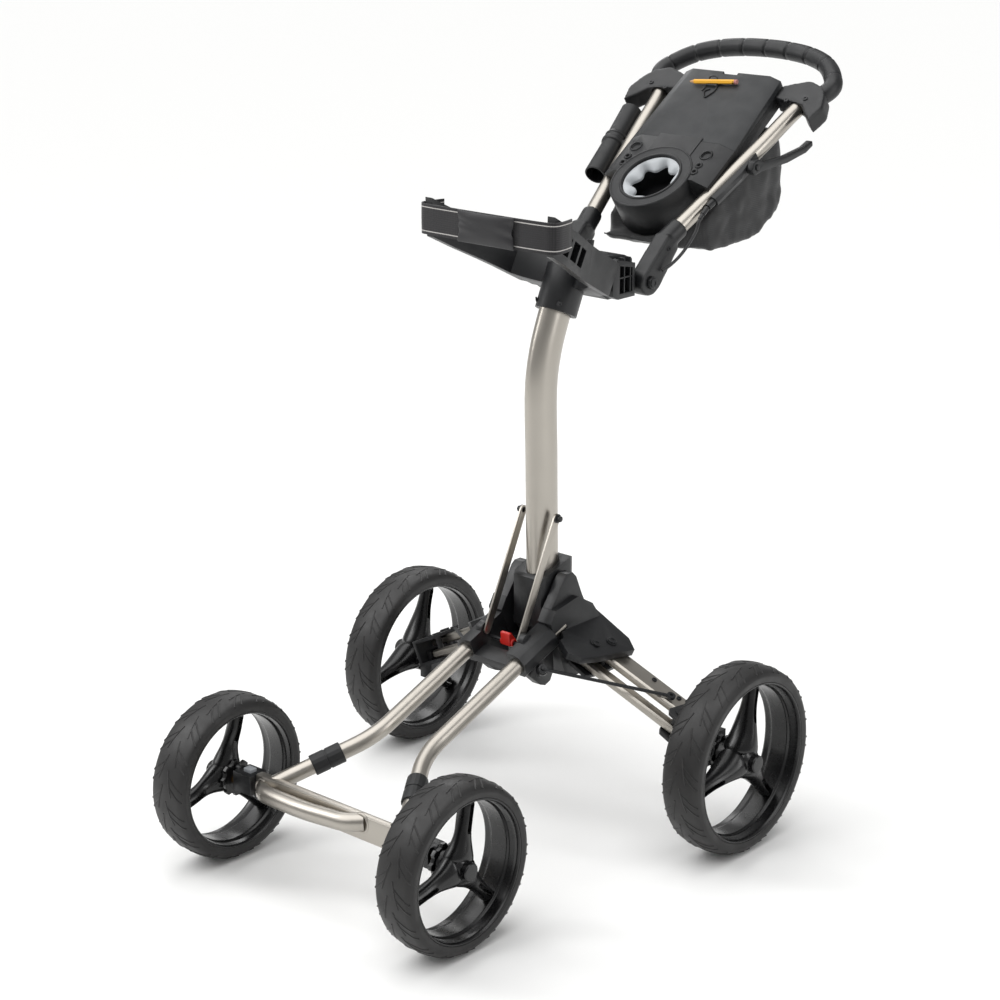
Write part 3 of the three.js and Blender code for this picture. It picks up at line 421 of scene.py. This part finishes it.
def nodeCopy(name, *steps):  # a loose copy of a CAD node, with its doubles merged before the steps
    pick(nodes[name])
    bpy.ops.object.duplicate()
    obj = bpy.context.object
    for key in list(obj.keys()):
        del obj[key]
    bpy.ops.object.parent_clear(type="CLEAR_KEEP_TRANSFORM")
    return edit(obj, weld, *steps)


def softened(name, width, finish=None, shaping=None):
    # a copy of a CAD node with its facets merged and its edges rounded
    obj = nodeCopy(name, lambda: bpy.ops.mesh.dissolve_limited(angle_limit=math.radians(2)))
    if shaping:
        shaping(obj)
    if width:
        bevelled(obj, width)
    slotName = slotOf[name]
    dress(obj, name + "_moulding", bodyOf[name], finish or slotName)
    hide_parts(name)
    return obj


def melted(obj, voxel=2.0, rounds=22):  # rounds a whole moulding over, as a soft-edged casting
    modify(obj, "REMESH", mode="VOXEL", voxel_size=voxel / 1000)
    return modify(obj, "SMOOTH", factor=0.5, iterations=rounds)


slotOf = {part["node"]: part["material_slot"] for part in frame["record"]["subparts"]}
for nodeName, nodeObject in nodes.items():  # every CAD node gets a finish of its own first
    nodeObject.data.materials.clear()
    nodeObject.data.materials.append(finishes[slotOf[nodeName]])
    pick(nodeObject)
    bpy.ops.object.shade_smooth_by_angle(angle=math.radians(30))
bpy.ops.object.select_all(action="DESELECT")

# wheels

wheels = {
    "front": {"x": 228, "y": -257.5, "radius": 126, "seat": 105, "tunnel": 97, "hub": -22,
              "cap": 35, "tiles": 17},
    "rear": {"x": 328, "y": 257.5, "radius": 146, "seat": 124, "tunnel": 115, "hub": -32,
             "cap": 41, "tiles": 20},
}


def treadLines(size):  # raised lines: a long slanting one with two ribs out to the shoulder
    def onTyre(x, turn):
        x0 = min(abs(x), 27)
        out = size["radius"] - 1 - 3.6 * (x0 / 27) ** 2 - 0.6 * (abs(x) - x0) - 0.8
        return Vector((x, out * math.cos(turn), out * math.sin(turn))) / 1000

    lines = []
    pitch = 2 * math.pi / size["tiles"]
    for tile in range(size["tiles"]):
        for sign, shift in ((1, 0), (-1, 0.5)):
            start = (tile + shift) * pitch
            along = [(4 + 10 * t / 8, 0.84 * t / 8) for t in range(9)]
            ribs = [[(4 + 12 * low + reach * t / 5, low + 0.09 * t) for t in range(6)]
                    for low, reach in ((0.2, 25), (0.52, 21))]
            for points in (along, *ribs):
                lines.append([onTyre(sign * x, start + turn * pitch) for x, turn in points])
    return lines


def tyreFor(size):
    half, radius, seat = 34, size["radius"], size["seat"]
    crown = [(x, radius - 1 - 3.6 * (x / 27) ** 2) for x in range(-27, 28, 3)]
    shoulder = softCorners([crown[-1], (31.5, radius - 7.5), (half, radius - 13), (half, seat + 6),
                            (half - 1, seat)], 5, 5)[1:]
    profile = [(-x, r) for x, r in shoulder[::-1]] + crown + shoulder
    profile.append(profile[0])
    return joined(ringOf(profile, 160), tubeOf(treadLines(size), 1.75, 1))


def spokeFor(size):
    tip, low, high = size["tunnel"] + 1, size["hub"] + 8, size["cap"] - 9
    rings = [  # distance out, inner edge, outer edge, half width
        (6, low, high, 27), (0.16 * tip, low + 1, high + 1, 25), (0.3 * tip, low + 6, high - 2, 17.5),
        (0.48 * tip, low + 10, high - 8, 12.5), (0.66 * tip, -9, 18, 11),
        (0.85 * tip, -8, 16, 10.5), (tip, -8, 15, 12.5)]
    bpy.ops.mesh.primitive_circle_add(vertices=12, radius=0.001, fill_type="NGON")
    obj = bpy.context.object
    bpy.ops.object.mode_set(mode="EDIT")
    bpy.ops.mesh.select_all(action="SELECT")
    lastPlace, lastSizes = (0, 0, 0), (1, 1)
    for i, (out, inner, outer, wide) in enumerate(rings):
        if i:
            bpy.ops.mesh.extrude_region_move(TRANSFORM_OT_translate={"value": (0, 0, 0)})
        place = ((inner + outer) / 2000, 0, out / 1000)
        sizes = ((outer - inner) / 2, wide)
        bpy.ops.transform.resize(value=(sizes[0] / lastSizes[0], sizes[1] / lastSizes[1], 1),
                                 center_override=lastPlace)
        bpy.ops.transform.translate(value=tuple(b - a for a, b in zip(lastPlace, place)))
        lastPlace, lastSizes = place, sizes
    bpy.ops.object.mode_set(mode="OBJECT")
    modify(obj, "SUBSURF", levels=2, render_levels=2)
    edit(obj, faceOut)
    slotStart, slotEnd, slotHalf = 0.5 * tip, tip - 7, 3.4  # the long slot in the outer half
    bpy.ops.mesh.primitive_cube_add(size=1, location=(0, 0, (slotStart + slotEnd) / 2000))
    cutter = bpy.context.object
    cutter.scale = (0.06, slotHalf * 2 / 1000, (slotEnd - slotStart) / 1000)
    settle(cutter)
    modify(cutter, "BEVEL", width=slotHalf * 0.95 / 1000, segments=4, limit_method="NONE")
    return cutWith(obj, cutter)


def rimFor(size):
    seat, tunnel, hub, cap = size["seat"], size["tunnel"], size["hub"], size["cap"]
    outer = seat - 0.3
    barrel = ringOf(softCorners([
        (-33, outer), (33, outer), (33, seat - 3), (29, seat - 5), (25, tunnel + 3.5),
        (15, tunnel + 2.5), (12, tunnel), (-16, tunnel), (-20, tunnel + 3), (-30, tunnel + 3.5),
        (-33, seat - 3), (-33, outer)], 2.2), 144)
    boss = ringOf(softCorners([
        (hub, 0), (hub, 14), (hub + 2, 22), (hub + 12, 21), (0, 19), (cap - 14, 20),
        (cap - 11, 15.5), (cap - 10, 14), (cap - 1.5, 13.4), (cap, 12), (cap, 0)], 1.6), 48)
    collar = ringOf(softCorners([
        (hub + 1, 18), (hub + 1, 28), (hub + 8, 28), (hub + 8, 18), (hub + 1, 18)], 1), 48)
    edit(collar, lambda: bpy.ops.mesh.select_all(action="DESELECT"))
    for vertex in collar.data.vertices:
        angle = math.degrees(math.atan2(vertex.co.z, vertex.co.y)) % 45
        vertex.select = 14 < angle < 31 and math.hypot(vertex.co.y, vertex.co.z) > 0.022
    pick(collar)
    bpy.ops.object.mode_set(mode="EDIT")
    bpy.ops.transform.resize(value=(1, 0.86, 0.86), center_override=(0, 0, 0))
    bpy.ops.object.mode_set(mode="OBJECT")
    spoke = spokeFor(size)
    spokes = [spoke]
    for turn in (120, 240):
        another = copied(spoke)
        another.rotation_euler.x = math.radians(turn)
        spokes.append(settle(another))
    whole = joined(*spokes)
    whole.rotation_euler.x = math.radians(-16)  # the first spoke leans towards the back
    return joined(barrel, boss, collar, settle(whole))


for end, size in wheels.items():
    tyre, rim = tyreFor(size), rimFor(size)
    for sign, side in sideNames.items():
        for part, kind, finish in ((tyre, "tyre", "tyre"), (rim, "rim", "rim_plastic")):
            piece = copied(part, flip=sign < 0)
            piece.location = at(sign * size["x"], size["y"], size["radius"])
            name = f"{kind}_{end}_{side}"
            dress(piece, name + "_turned", bodyOf[name], finish, 40)
            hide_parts(name)
    bpy.data.objects.remove(tyre)
    bpy.data.objects.remove(rim)
print("wheels turned")

# tubes

tubes = {
    "fork": [(51, 148), (51, -125)], "forkEnd": (130.6, -254, 137.9), "forkRadius": 12.5,
    "mast": [(195, 340), (193, 430), (190.5, 560), (189.2, 680), (199, 730), (213, 768), (231, 808)],
    "mastOval": (21, 28.5),
}


def forkHeight(y):
    return 243 + y * math.tan(math.radians(21.2))


forkRoute = bendCorners([at(x, y, forkHeight(y)) for x, y in tubes["fork"]]
                        + [at(*tubes["forkEnd"])], 34)
fork = joined(tubeOf(forkRoute, tubes["forkRadius"], 8),
              rodOf(at(51, 178, forkHeight(178)), at(51, 145, forkHeight(145)), 11.6))
onBothSides(fork, "fork_{}_tube", "fork_{}", "base", "silver_tube")

mastRoute = throughPoints([at(0, y, z) for y, z in tubes["mast"]], 10)
mast = tubeOf(mastRoute, 1, oval=tubes["mastOval"])
dress(mast, "mast_tube", "mast", "silver_tube", angle=50)
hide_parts("mast")
print("tubes bent")

# handle bars: straight from the elbows, then bent into one loop
handle = {"root": (80, 387, 880), "knee": (139, 649, 1060), "rise": 0.686, "radius": 12.5,
          "loop": [(160, 668), (166, 684), (152, 704), (126, 724), (90, 737), (45, 744), (0, 746)],
          "gripFrom": 352, "gripRadius": 14.6, "segments": 10}
kneeY, kneeZ = handle["knee"][1:]
halfLoop = [at(*handle["root"]).lerp(at(*handle["knee"]), t) for t in (0, 0.33, 0.67, 1)]
halfLoop += [at(x, y, kneeZ + handle["rise"] * (y - kneeY)) for x, y in handle["loop"]]
handleRoute = throughPoints(halfLoop + [Vector((-p.x, p.y, p.z)) for p in halfLoop[-2::-1]], 10)
handleLength = sum((b - a).length for a, b in zip(handleRoute, handleRoute[1:])) * 1000
barRoute = stretchOf(handleRoute, 0, handle["gripFrom"] + 4, 6)
bar = tubeOf(barRoute, handle["radius"], 8)
onBothSides(bar, "handle_tube_{}_bar", "handle_tube_{}", "handle", "silver_tube")


def gripSwell(t):  # ten segments parted by narrow grooves
    phase = t * handle["segments"] % 1
    edge = min(phase, 1 - phase) * (handleLength - 2 * handle["gripFrom"]) / handle["segments"]
    return 0.9 if edge < 1.2 else 1 if edge > 3 else 0.97


gripRoute = stretchOf(handleRoute, handle["gripFrom"] + 0.4,
                      handleLength - handle["gripFrom"] - 0.4, 1.6)
gripPiece = tubeOf(gripRoute, handle["gripRadius"], 8, swell=gripSwell)
dress(gripPiece, "grip_moulding", "handle", "grip_rubber", angle=60)
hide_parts("grip")

# front crossbar: a flat plate with a bow tube welded along its front
crossbar = {"plate": ((-160, -264, 111), (160, -249, 149)),
            "bow": [(-146, -258, 129), (-128, -276, 130), (-40, -281, 133), (38, -276, 137),
                    (58, -258, 138)]}
plate = boxOf(*crossbar["plate"], width=4)
bow = tubeOf(bendCorners([at(*p) for p in crossbar["bow"]], 26), 13.5, 8)
beads = []
for x, y, z in (crossbar["bow"][0], crossbar["bow"][-1]):
    bpy.ops.mesh.primitive_torus_add(location=at(x, y - 5, z), rotation=(math.pi / 2, 0, 0),
                                     major_radius=0.0135, minor_radius=0.0022,
                                     major_segments=40, minor_segments=10)
    beads.append(settle(bpy.context.object))
dress(joined(plate, bow, *beads), "crossbar_weldment", "base", "silver_tube")
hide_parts("crossbar")

# ribbed rubber sleeves where the fork legs come apart
sleeve = {"from": (51, -125, 194.5), "to": (122, -240, 144), "radius": 15.8,
          "spans": ((52, 75), (77, 100))}
legStart, legEnd = at(*sleeve["from"]), at(*sleeve["to"])
legRun = (legEnd - legStart).normalized() / 1000
cuffs = [bevelled(rodOf(legStart + legRun * low, legStart + legRun * high, sleeve["radius"], 18),
                  1.2, 2, 60) for low, high in sleeve["spans"]]
cuffs.append(rodOf(legStart + legRun * 74, legStart + legRun * 78, 14.6, 36))
onBothSides(joined(*cuffs), "sleeve_{}_cuffs", "sleeve_{}", "base", "sleeve_rubber", 18)

armTilt, armSweep = math.radians(25.9), math.radians(7.35)
armPivot = (105, 228.2, 271.5)


def onArm(along, across, high):  # a point on the right rear arm, measured from its inner pivot
    along, across = (along * math.cos(armSweep) - across * math.sin(armSweep),
                     along * math.sin(armSweep) + across * math.cos(armSweep))
    return (armPivot[0] + along * math.cos(armTilt) + high * math.sin(armTilt),
            armPivot[1] + across,
            armPivot[2] - along * math.sin(armTilt) + high * math.cos(armTilt))


armUp = (math.sin(armTilt), 0, math.cos(armTilt))
panelPitch = math.radians(35)
panelUp = (0, -math.sin(panelPitch), math.cos(panelPitch))


def onPanel(x, back, high):  # a point on the console's sloping top
    return (x, 511 + back * math.cos(panelPitch) - high * math.sin(panelPitch),
            1003 + back * math.sin(panelPitch) + high * math.cos(panelPitch))


# moulded and stamped parts, with their edges rounded as the moulds leave them


def trimmedLink(side):  # cuts off the inner end of a link, hidden under the cover plate
    sign = 1 if side == "right" else -1
    end, outward = [at(sign * x, y, z) for x, y, z in (onArm(-18, -29.6, -25), onArm(0, -29.6, -25))]

    def trim(obj):
        return edit(obj, lambda: bpy.ops.mesh.bisect(
            plane_co=end, plane_no=outward - end, use_fill=True, clear_inner=True))

    return trim


# edge radii in mm, where 0 is a moulding that is rounded all over instead
edgeWidths = {"base_bracket": 2.6, "front_bracket": 2.6, "mast_foot": 2.2, "mast_head": 2.2,
              "console_body": 2.4, "console_lid": 1.4, "fold_latch": 1.6, "brake_lever": 2.2,
              "brake_mount": 1.2}
pairedWidths = {"cradle": 1.4, "elbow": 0, "handle_clamp": 0, "arm": 1.6, "link": 1.6,
                "strut": 0.8, "carrier": 1.8, "rod": 0.8, "axle_block": 1.8,
                "axle_front": 0.8, "axle_rear": 0.8, "release_button_front": 1,
                "release_button_rear": 1}
for kind, width in pairedWidths.items():
    for side in sideNames.values():
        edgeWidths[f"{kind}_{side}"] = width
rounded = {}
for nodeName, width in edgeWidths.items():
    kind, side = nodeName.rsplit("_", 1)
    shaping = None if width else melted
    if kind == "link":
        shaping = trimmedLink(side)
    rounded[nodeName] = softened(
        nodeName, width, "brass" if kind == "axle_front" else None, shaping)
print("mouldings rounded")

# fasteners


def boltOf(radius, height, socket=True):  # a button-head screw with a hexagon socket, along +Z
    bpy.ops.mesh.primitive_cylinder_add(vertices=28, radius=radius / 1000, depth=height / 1000,
                                        location=(0, 0, height / 2000))
    head = settle(bpy.context.object)
    bevelled(head, min(radius * 0.35, height * 0.6), 3, 60)
    if socket:
        bpy.ops.mesh.primitive_cylinder_add(vertices=6, radius=radius * 0.5 / 1000, depth=0.004,
                                            location=(0, 0, (height + 1.2) / 1000))
        hole = settle(bpy.context.object)
        cutWith(head, hole)
    return head


def seated(obj, place, axis):
    obj.rotation_mode = "QUATERNION"
    obj.rotation_quaternion = Vector(axis).to_track_quat("Z", "Y")
    obj.location = place
    return settle(obj)


screws = [  # node on the right side, place near it, axis, radius, height
    ("base_bracket", onArm(0, 0, 15.3), armUp, 6.5, 2.6),
    ("base_bracket", onArm(-10, -29.6, 15.3), armUp, 6, 2.4),
    ("base_bracket", (53, 318, 362), (1, 0, 0), 5, 2.4),
    ("front_bracket", (57, 120, 249), (1, 0, 0), 5.2, 1.8),
    ("front_bracket", (66, 190, 290), (0.5, 0, 0.87), 4.6, 2.2),
    ("arm_right", onArm(86, 6, 0), armUp, 4.2, 2.2),
    ("arm_right", onArm(134, 6, 0), armUp, 4.2, 2.2),
    ("mast_foot", (31, 205, 382), (1, 0, 0), 4.4, 1.8),
    ("mast_head", (27, 200, 800), (0.8, -0.5, -0.2), 4.4, 2),
    ("mast_head", (99, 330, 823), (1, 0, 0), 7.6, 2.2),
    ("elbow_right", (93.8, 371, 868), (0.97, -0.1, 0.2), 4, 1.6),
    ("handle_clamp_right", onPanel(118, 134, -16), panelUp, 4.2, 1.8),
    ("handle_clamp_right", onPanel(150, 140, -16), panelUp, 4.2, 1.8),
]
heads = {}
for node, place, axis, radius, height in screws:
    for sign, side in sideNames.items():
        target = node.replace("_right", "_" + side)
        out = Vector((sign * axis[0], *axis[1:])).normalized()
        start = at(sign * place[0], *place[1:]) + out * 0.05
        struck, seat = rounded[target].ray_cast(start, -out)[:2]
        if struck and (start - seat).length < 0.09:
            head = seated(boltOf(radius, height), seat - out * 0.0003, out)
            heads.setdefault(bodyOf[target], []).append(head)
        else:
            print("no seat for a screw on", target)
for body, group in heads.items():
    dress(joined(*group), f"screws_{body}", body, "black_steel")

# ribs across the pockets at both sides of the mast head
ribs = joined(*[boxOf((73, y, 808), (83, y + 2.4, 866), 0.6) for y in (265, 279, 293)],
              boxOf((73, 254, 836), (83, 302, 838.4), 0.6))
onBothSides(ribs, "head_ribs_{}", None, "mast", "black_nylon")

# small stop on the left of the mast, under its head
dress(boxOf((-24, 207, 742), (-20, 219, 776), 1.4), "mast_stop", "mast", "black_nylon")

# acorn nuts that hold the struts to the mast
strutPin = (35.3, 187, 475)
for sign, side in sideNames.items():
    place = at(sign * strutPin[0], *strutPin[1:])
    nut = joined(seated(boltOf(7, 2.2, False), place, (sign, 0, 0)),
                 seated(boltOf(4.6, 7.5, False), place, (sign, 0, 0)))
    dress(nut, f"strut_nut_{side}", "mast", "black_steel")
print("screws driven")

# console


def surfaceOf(across, down, shape, thick=0.0):  # a grid laid on shape(u, v), in metres
    bpy.ops.mesh.primitive_grid_add(x_subdivisions=across, y_subdivisions=down, size=1)
    obj = bpy.context.object
    for vertex in obj.data.vertices:
        vertex.co = shape(vertex.co.x + 0.5, vertex.co.y + 0.5)
    edit(obj, weld, faceOut)
    if thick:
        modify(obj, "SOLIDIFY", thickness=thick / 1000, offset=0)
        edit(obj, faceOut)
    return obj


cup = {"back": -80.6, "hole": 47, "lobe": 67, "points": 7, "inner": 30, "outer": 40.5,
       "top": -2.5, "floor": -17}


def insertShape(u, v):  # a funnel that goes from a circle down to a star
    turn = u * 2 * math.pi
    wave = 0.5 + 0.5 * math.cos(turn * cup["points"])
    star = cup["inner"] + (cup["outer"] - cup["inner"]) * wave ** 1.4
    lip = cup["hole"] - 0.8
    radius = lip + (star - lip) * min(1, v * 1.25) ** 0.8
    high = cup["top"] + (cup["floor"] - cup["top"]) * v ** 1.3
    return at(*onPanel(radius * math.sin(turn), cup["back"] + radius * math.cos(turn), high))


insert = surfaceOf(168, 14, insertShape, 1.4)
dress(insert, "cup_insert_funnel", "handle", "insert_rubber")
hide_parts("cup_insert")


def panelRing(x, back, high, major, minor, flat=1.0):
    bpy.ops.mesh.primitive_torus_add(major_radius=major / 1000, minor_radius=minor / 1000,
                                     major_segments=64 if major > 20 else 28, minor_segments=12)
    ring = bpy.context.object
    ring.scale.z = flat
    settle(ring)
    ring.rotation_euler.x = panelPitch
    ring.location = at(*onPanel(x, back, high))
    return settle(ring)


rings = [panelRing(0, cup["back"], 1.2, cup["hole"] + 2.2, 2.2),
         panelRing(0, cup["back"], 0.6, cup["lobe"] - 1, 1.8)]
for sign in sideNames:
    rings += [panelRing(sign * 69.4, -58.6, 0.4, 4.6, 1.7), panelRing(sign * 69.2, -44, 0.4, 4.6, 1.7),
              panelRing(sign * 68.3, -20.8, 0.2, 9, 1.2)]
dress(joined(*rings), "console_rims", "handle", "console_plastic")

# pencil: hexagonal lacquered barrel, sharpened tip and a rubber end, over a bent wire clip
pencilStart, pencilEnd = at(*onPanel(-58, 129, 5.4)), at(*onPanel(30, 139, 5.4))
pencilRun = (pencilEnd - pencilStart) / 88
parts = [(0, 2.2, 1.0, 0.4, "black_steel"), (2.2, 10, 3.5, 1.0, "pencil_wood"),
         (10, 80, 3.7, 3.7, "pencil_paint"), (80, 83.5, 3.9, 3.9, "brass"),
         (83.5, 88, 3.6, 3.6, "pencil_end")]
lengths = []
for low, high, wide, tip, finish in parts:
    first, last = pencilStart + pencilRun * low, pencilStart + pencilRun * high
    piece = rodOf(first, last, min(wide, tip), 6 if finish == "pencil_paint" else 20, max(wide, tip))
    piece.data.materials.append(finishes[finish])
    lengths.append(piece)
dress(joined(*lengths), "pencil_whole", "lid", None)
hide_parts("pencil")
wire = [(-26, 116, 1.4), (-24, 132, 2.2), (-22, 141, 9.6), (-15, 143, 9.8), (-8, 141, 9.6),
        (-5, 132, 2.2), (-2, 118, 1.4), (-12, 100, 1.2), (-22, 116, 1.4), (-14, 122, 1.2)]
clip = tubeOf(bendCorners([at(*onPanel(*p)) for p in wire], 6, 6), 1.1, 3)
dress(clip, "pencil_clip", "lid", "black_steel")

# umbrella tube: two barrels with a raised collar between them
umbrella = {"low": (-134, 474, 941), "high": (-160, 598, 1026), "bore": 15.5}
lowEnd, highEnd = at(*umbrella["low"]), at(*umbrella["high"])
long = (highEnd - lowEnd).length * 1000
bore = umbrella["bore"]
barrelTube = ringOf(softCorners([
    (0, bore), (0, 17.8), (0.45 * long, 16.8), (0.46 * long, 19.3), (0.5 * long, 19.5),
    (0.51 * long, 17.6), (0.55 * long, 17.6), (0.56 * long, 19.3), (0.6 * long, 16.9),
    (long - 8, 17.6), (long, 17.9), (long, bore), (0, bore)], 1.2), 64)
barrelTube.rotation_mode = "QUATERNION"
barrelTube.rotation_quaternion = (highEnd - lowEnd).to_track_quat("X", "Z")
barrelTube.location = lowEnd
settle(barrelTube)
middle = lowEnd.lerp(highEnd, 0.5)
web = bevelled(rodOf(middle + Vector((0.013, 0.0015, -0.001)), middle + Vector((0.03, 0.0035, -0.002)),
                     8, 24), 1.5)
dress(joined(barrelTube, web), "umbrella_tube", "handle", "console_plastic")
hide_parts("umbrella_holder")
print("console fitted")

# strap over the cradle tips

strap = {"line": [(-122, 110), (-127, 90), (-129, 74), (-124, 65.5), (-110, 63), (-60, 62),
                  (0, 61.5), (60, 62), (106, 64), (120, 66), (127, 72), (126.5, 90), (122, 110)],
         "low": 908, "high": 953, "thick": 2.0}
strapRoute = stretchOf(throughPoints([at(x, y, strap["low"]) for x, y in strap["line"]], 8), 0, None, 2)
strapWide = strap["high"] - strap["low"]
threadRows = (4.2, 5.6, strapWide - 5.6, strapWide - 4.2)
rows = [0, 1.2, *threadRows[:2], 14, 22.5, 31, *threadRows[2:], strapWide - 1.2, strapWide]


def strapShape(u, v):
    k = min(u, 1) * (len(strapRoute) - 1)
    first = min(int(k), len(strapRoute) - 2)
    point = strapRoute[first].lerp(strapRoute[first + 1], k - first)
    row = rows[round(v * (len(rows) - 1))]
    wave = 0.0006 * math.sin(u * 19) * math.sin(row / strapWide * math.pi)
    return point + Vector((0, -wave, row / 1000))


band = surfaceOf(len(strapRoute) - 1, len(rows) - 1, strapShape)
band.data.materials.append(finishes["webbing"])
band.data.materials.append(finishes["edgeThread"])
for face in band.data.polygons:
    height = face.center.z * 1000 - strap["low"]
    inRows = any(low < height < low + 1.4 for low in (threadRows[0], threadRows[2]))
    face.material_index = 1 if inRows else 0
modify(band, "SOLIDIFY", thickness=strap["thick"] / 1000, offset=0)
edit(band, faceOut)
dress(band, "strap_webbing", "mast", None)
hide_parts("strap")

patch = {"x": (-46, 62), "y": (52.7, 59.5), "z": (907.2, 953.8)}


def patchShape(u, v):  # a pinched leather cover: its ends flare and its middle swells
    x = patch["x"][0] + (patch["x"][1] - patch["x"][0]) * u
    z = patch["z"][0] + (patch["z"][1] - patch["z"][0]) * v
    ends = abs(2 * u - 1)
    pinch = 1 - 0.03 * (1 - ends ** 4)
    mid = sum(patch["z"]) / 2
    inward = 3.5 * math.exp(-(abs(2 * v - 1) / 0.6) ** 2) * ends ** 10
    swell = 3.2 * (1 - ends ** 3) * (1 - abs(2 * v - 1) ** 4)
    fold = 1.5 * math.sin(15 * v + 6 * u) * ends ** 2 * (1 - abs(2 * v - 1))
    return at(x - math.copysign(inward, u - 0.5), patch["y"][1] - 3 - swell - fold,
              mid + (z - mid) * pinch)


cover = surfaceOf(54, 26, patchShape, 2.2)
modify(cover, "SUBSURF", levels=1, render_levels=1)
dress(cover, "strap_patch_cover", "mast", "patch", angle=60)
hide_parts("strap_patch")
print("strap stretched")

# cloth bag hung under the console

cloth = {"voxel": 0.0055, "softening": 7, "thick": 0.001, "wide": 0.42, "seams": 1.12,
         "folds": ((0.08, 0.013), (0.028, 0.006))}  # metres, each fold is its size and its depth
bag = nodeCopy("storage_bag")
modify(bag, "REMESH", mode="VOXEL", voxel_size=cloth["voxel"])
modify(bag, "SMOOTH", factor=0.6, iterations=cloth["softening"])
for size, strength in cloth["folds"]:
    folds = bpy.data.textures.new("bagFolds", "CLOUDS")
    folds.noise_scale = size
    folds.noise_depth = 1
    modify(bag, "DISPLACE", texture=folds, strength=strength, mid_level=0.62)
edit(bag, faceOut)
modify(bag, "SOLIDIFY", thickness=cloth["thick"], offset=-1)
dress(bag, "storage_bag_cloth", "handle", "bag_cloth", angle=70)
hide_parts("storage_bag")
print("bag hung")

# brake cable

housing = {"along": 0.215, "radius": 2.5, "ferrule": 4.2, "neck": 3.3}
cableStart = at(*handle["root"]).lerp(at(*handle["knee"]), housing["along"])
cableStart += Vector((0.018, 0, 0.004))
cableLine = [cableStart + Vector((0, -0.001, -0.001)), cableStart + Vector((0.001, -0.02, -0.015)),
             at(112, 415, 892), at(108, 388, 862), at(103, 366, 846), at(97.6, 352, 838)]
cableRoute = throughPoints(cableLine, 10)
cable = joined(tubeOf(cableRoute, housing["radius"], 4),
               rodOf(cableRoute[0], cableRoute[6], housing["ferrule"], 20),
               rodOf(cableRoute[6], cableRoute[10], housing["neck"], 20))
dress(cable, "brake_cable_housing", "handle", "cable")
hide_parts("brake_cable")

# stage, light and camera

view = {"eye": (2186.9, -2366.6, 1550.5), "aim": (880.57, -895.44, 933.86), "lens": 83.65}
studio = {"floor": 60, "air": 0.36, "sun": 2.5, "spread": 80, "tilt": (14, -12)}
bpy.ops.mesh.primitive_plane_add(size=studio["floor"], location=(0, 0, 0))
floor = bpy.context.object
floor.name = "studioFloor"
# matt coated paper: white, with soft shadows
floor.data.materials.append(finishOf("whitePaper", "#f4f4f3", 0.9))

world = bpy.data.worlds.new("studioAir")
bpy.context.scene.world = world
world.use_nodes = True
world.node_tree.nodes["Background"].inputs["Color"].default_value = (1, 1, 1, 1)
world.node_tree.nodes["Background"].inputs["Strength"].default_value = studio["air"]


def softbox(place, aim, size, power):
    bpy.ops.object.light_add(type="AREA", location=place)
    lamp = bpy.context.object
    lamp.data.shape = "RECTANGLE"
    lamp.data.size, lamp.data.size_y = size
    lamp.data.energy = power
    lamp.rotation_euler = (Vector(aim) - Vector(place)).to_track_quat("-Z", "Y").to_euler()
    return lamp


bpy.ops.object.light_add(type="SUN", location=(-1, -1, 4))  # one wide soft light over the floor
sky = bpy.context.object
sky.data.energy = studio["sun"]
sky.data.angle = math.radians(studio["spread"])
sky.rotation_euler = (math.radians(studio["tilt"][0]), math.radians(studio["tilt"][1]), 0)
softbox((-2.4, -1.8, 2.2), (0, 0, 0.6), (0.7, 2.2), 26)
softbox((2.9, 0.6, 1.9), (0, 0, 0.6), (0.6, 2.2), 20)
softbox((-2.4, 2.2, 2.4), (0, 0, 0.7), (1.2, 1.2), 16)

bpy.ops.object.camera_add(location=at(*view["eye"]))
camera = bpy.context.object
camera.rotation_euler = (at(*view["aim"]) - at(*view["eye"])).to_track_quat("-Z", "Y").to_euler()
camera.data.lens = view["lens"]
camera.data.sensor_width = 36
camera.data.clip_end = 50
bpy.context.scene.camera = camera
bpy.context.scene.view_settings.view_transform = "Standard"
print("stage lit")
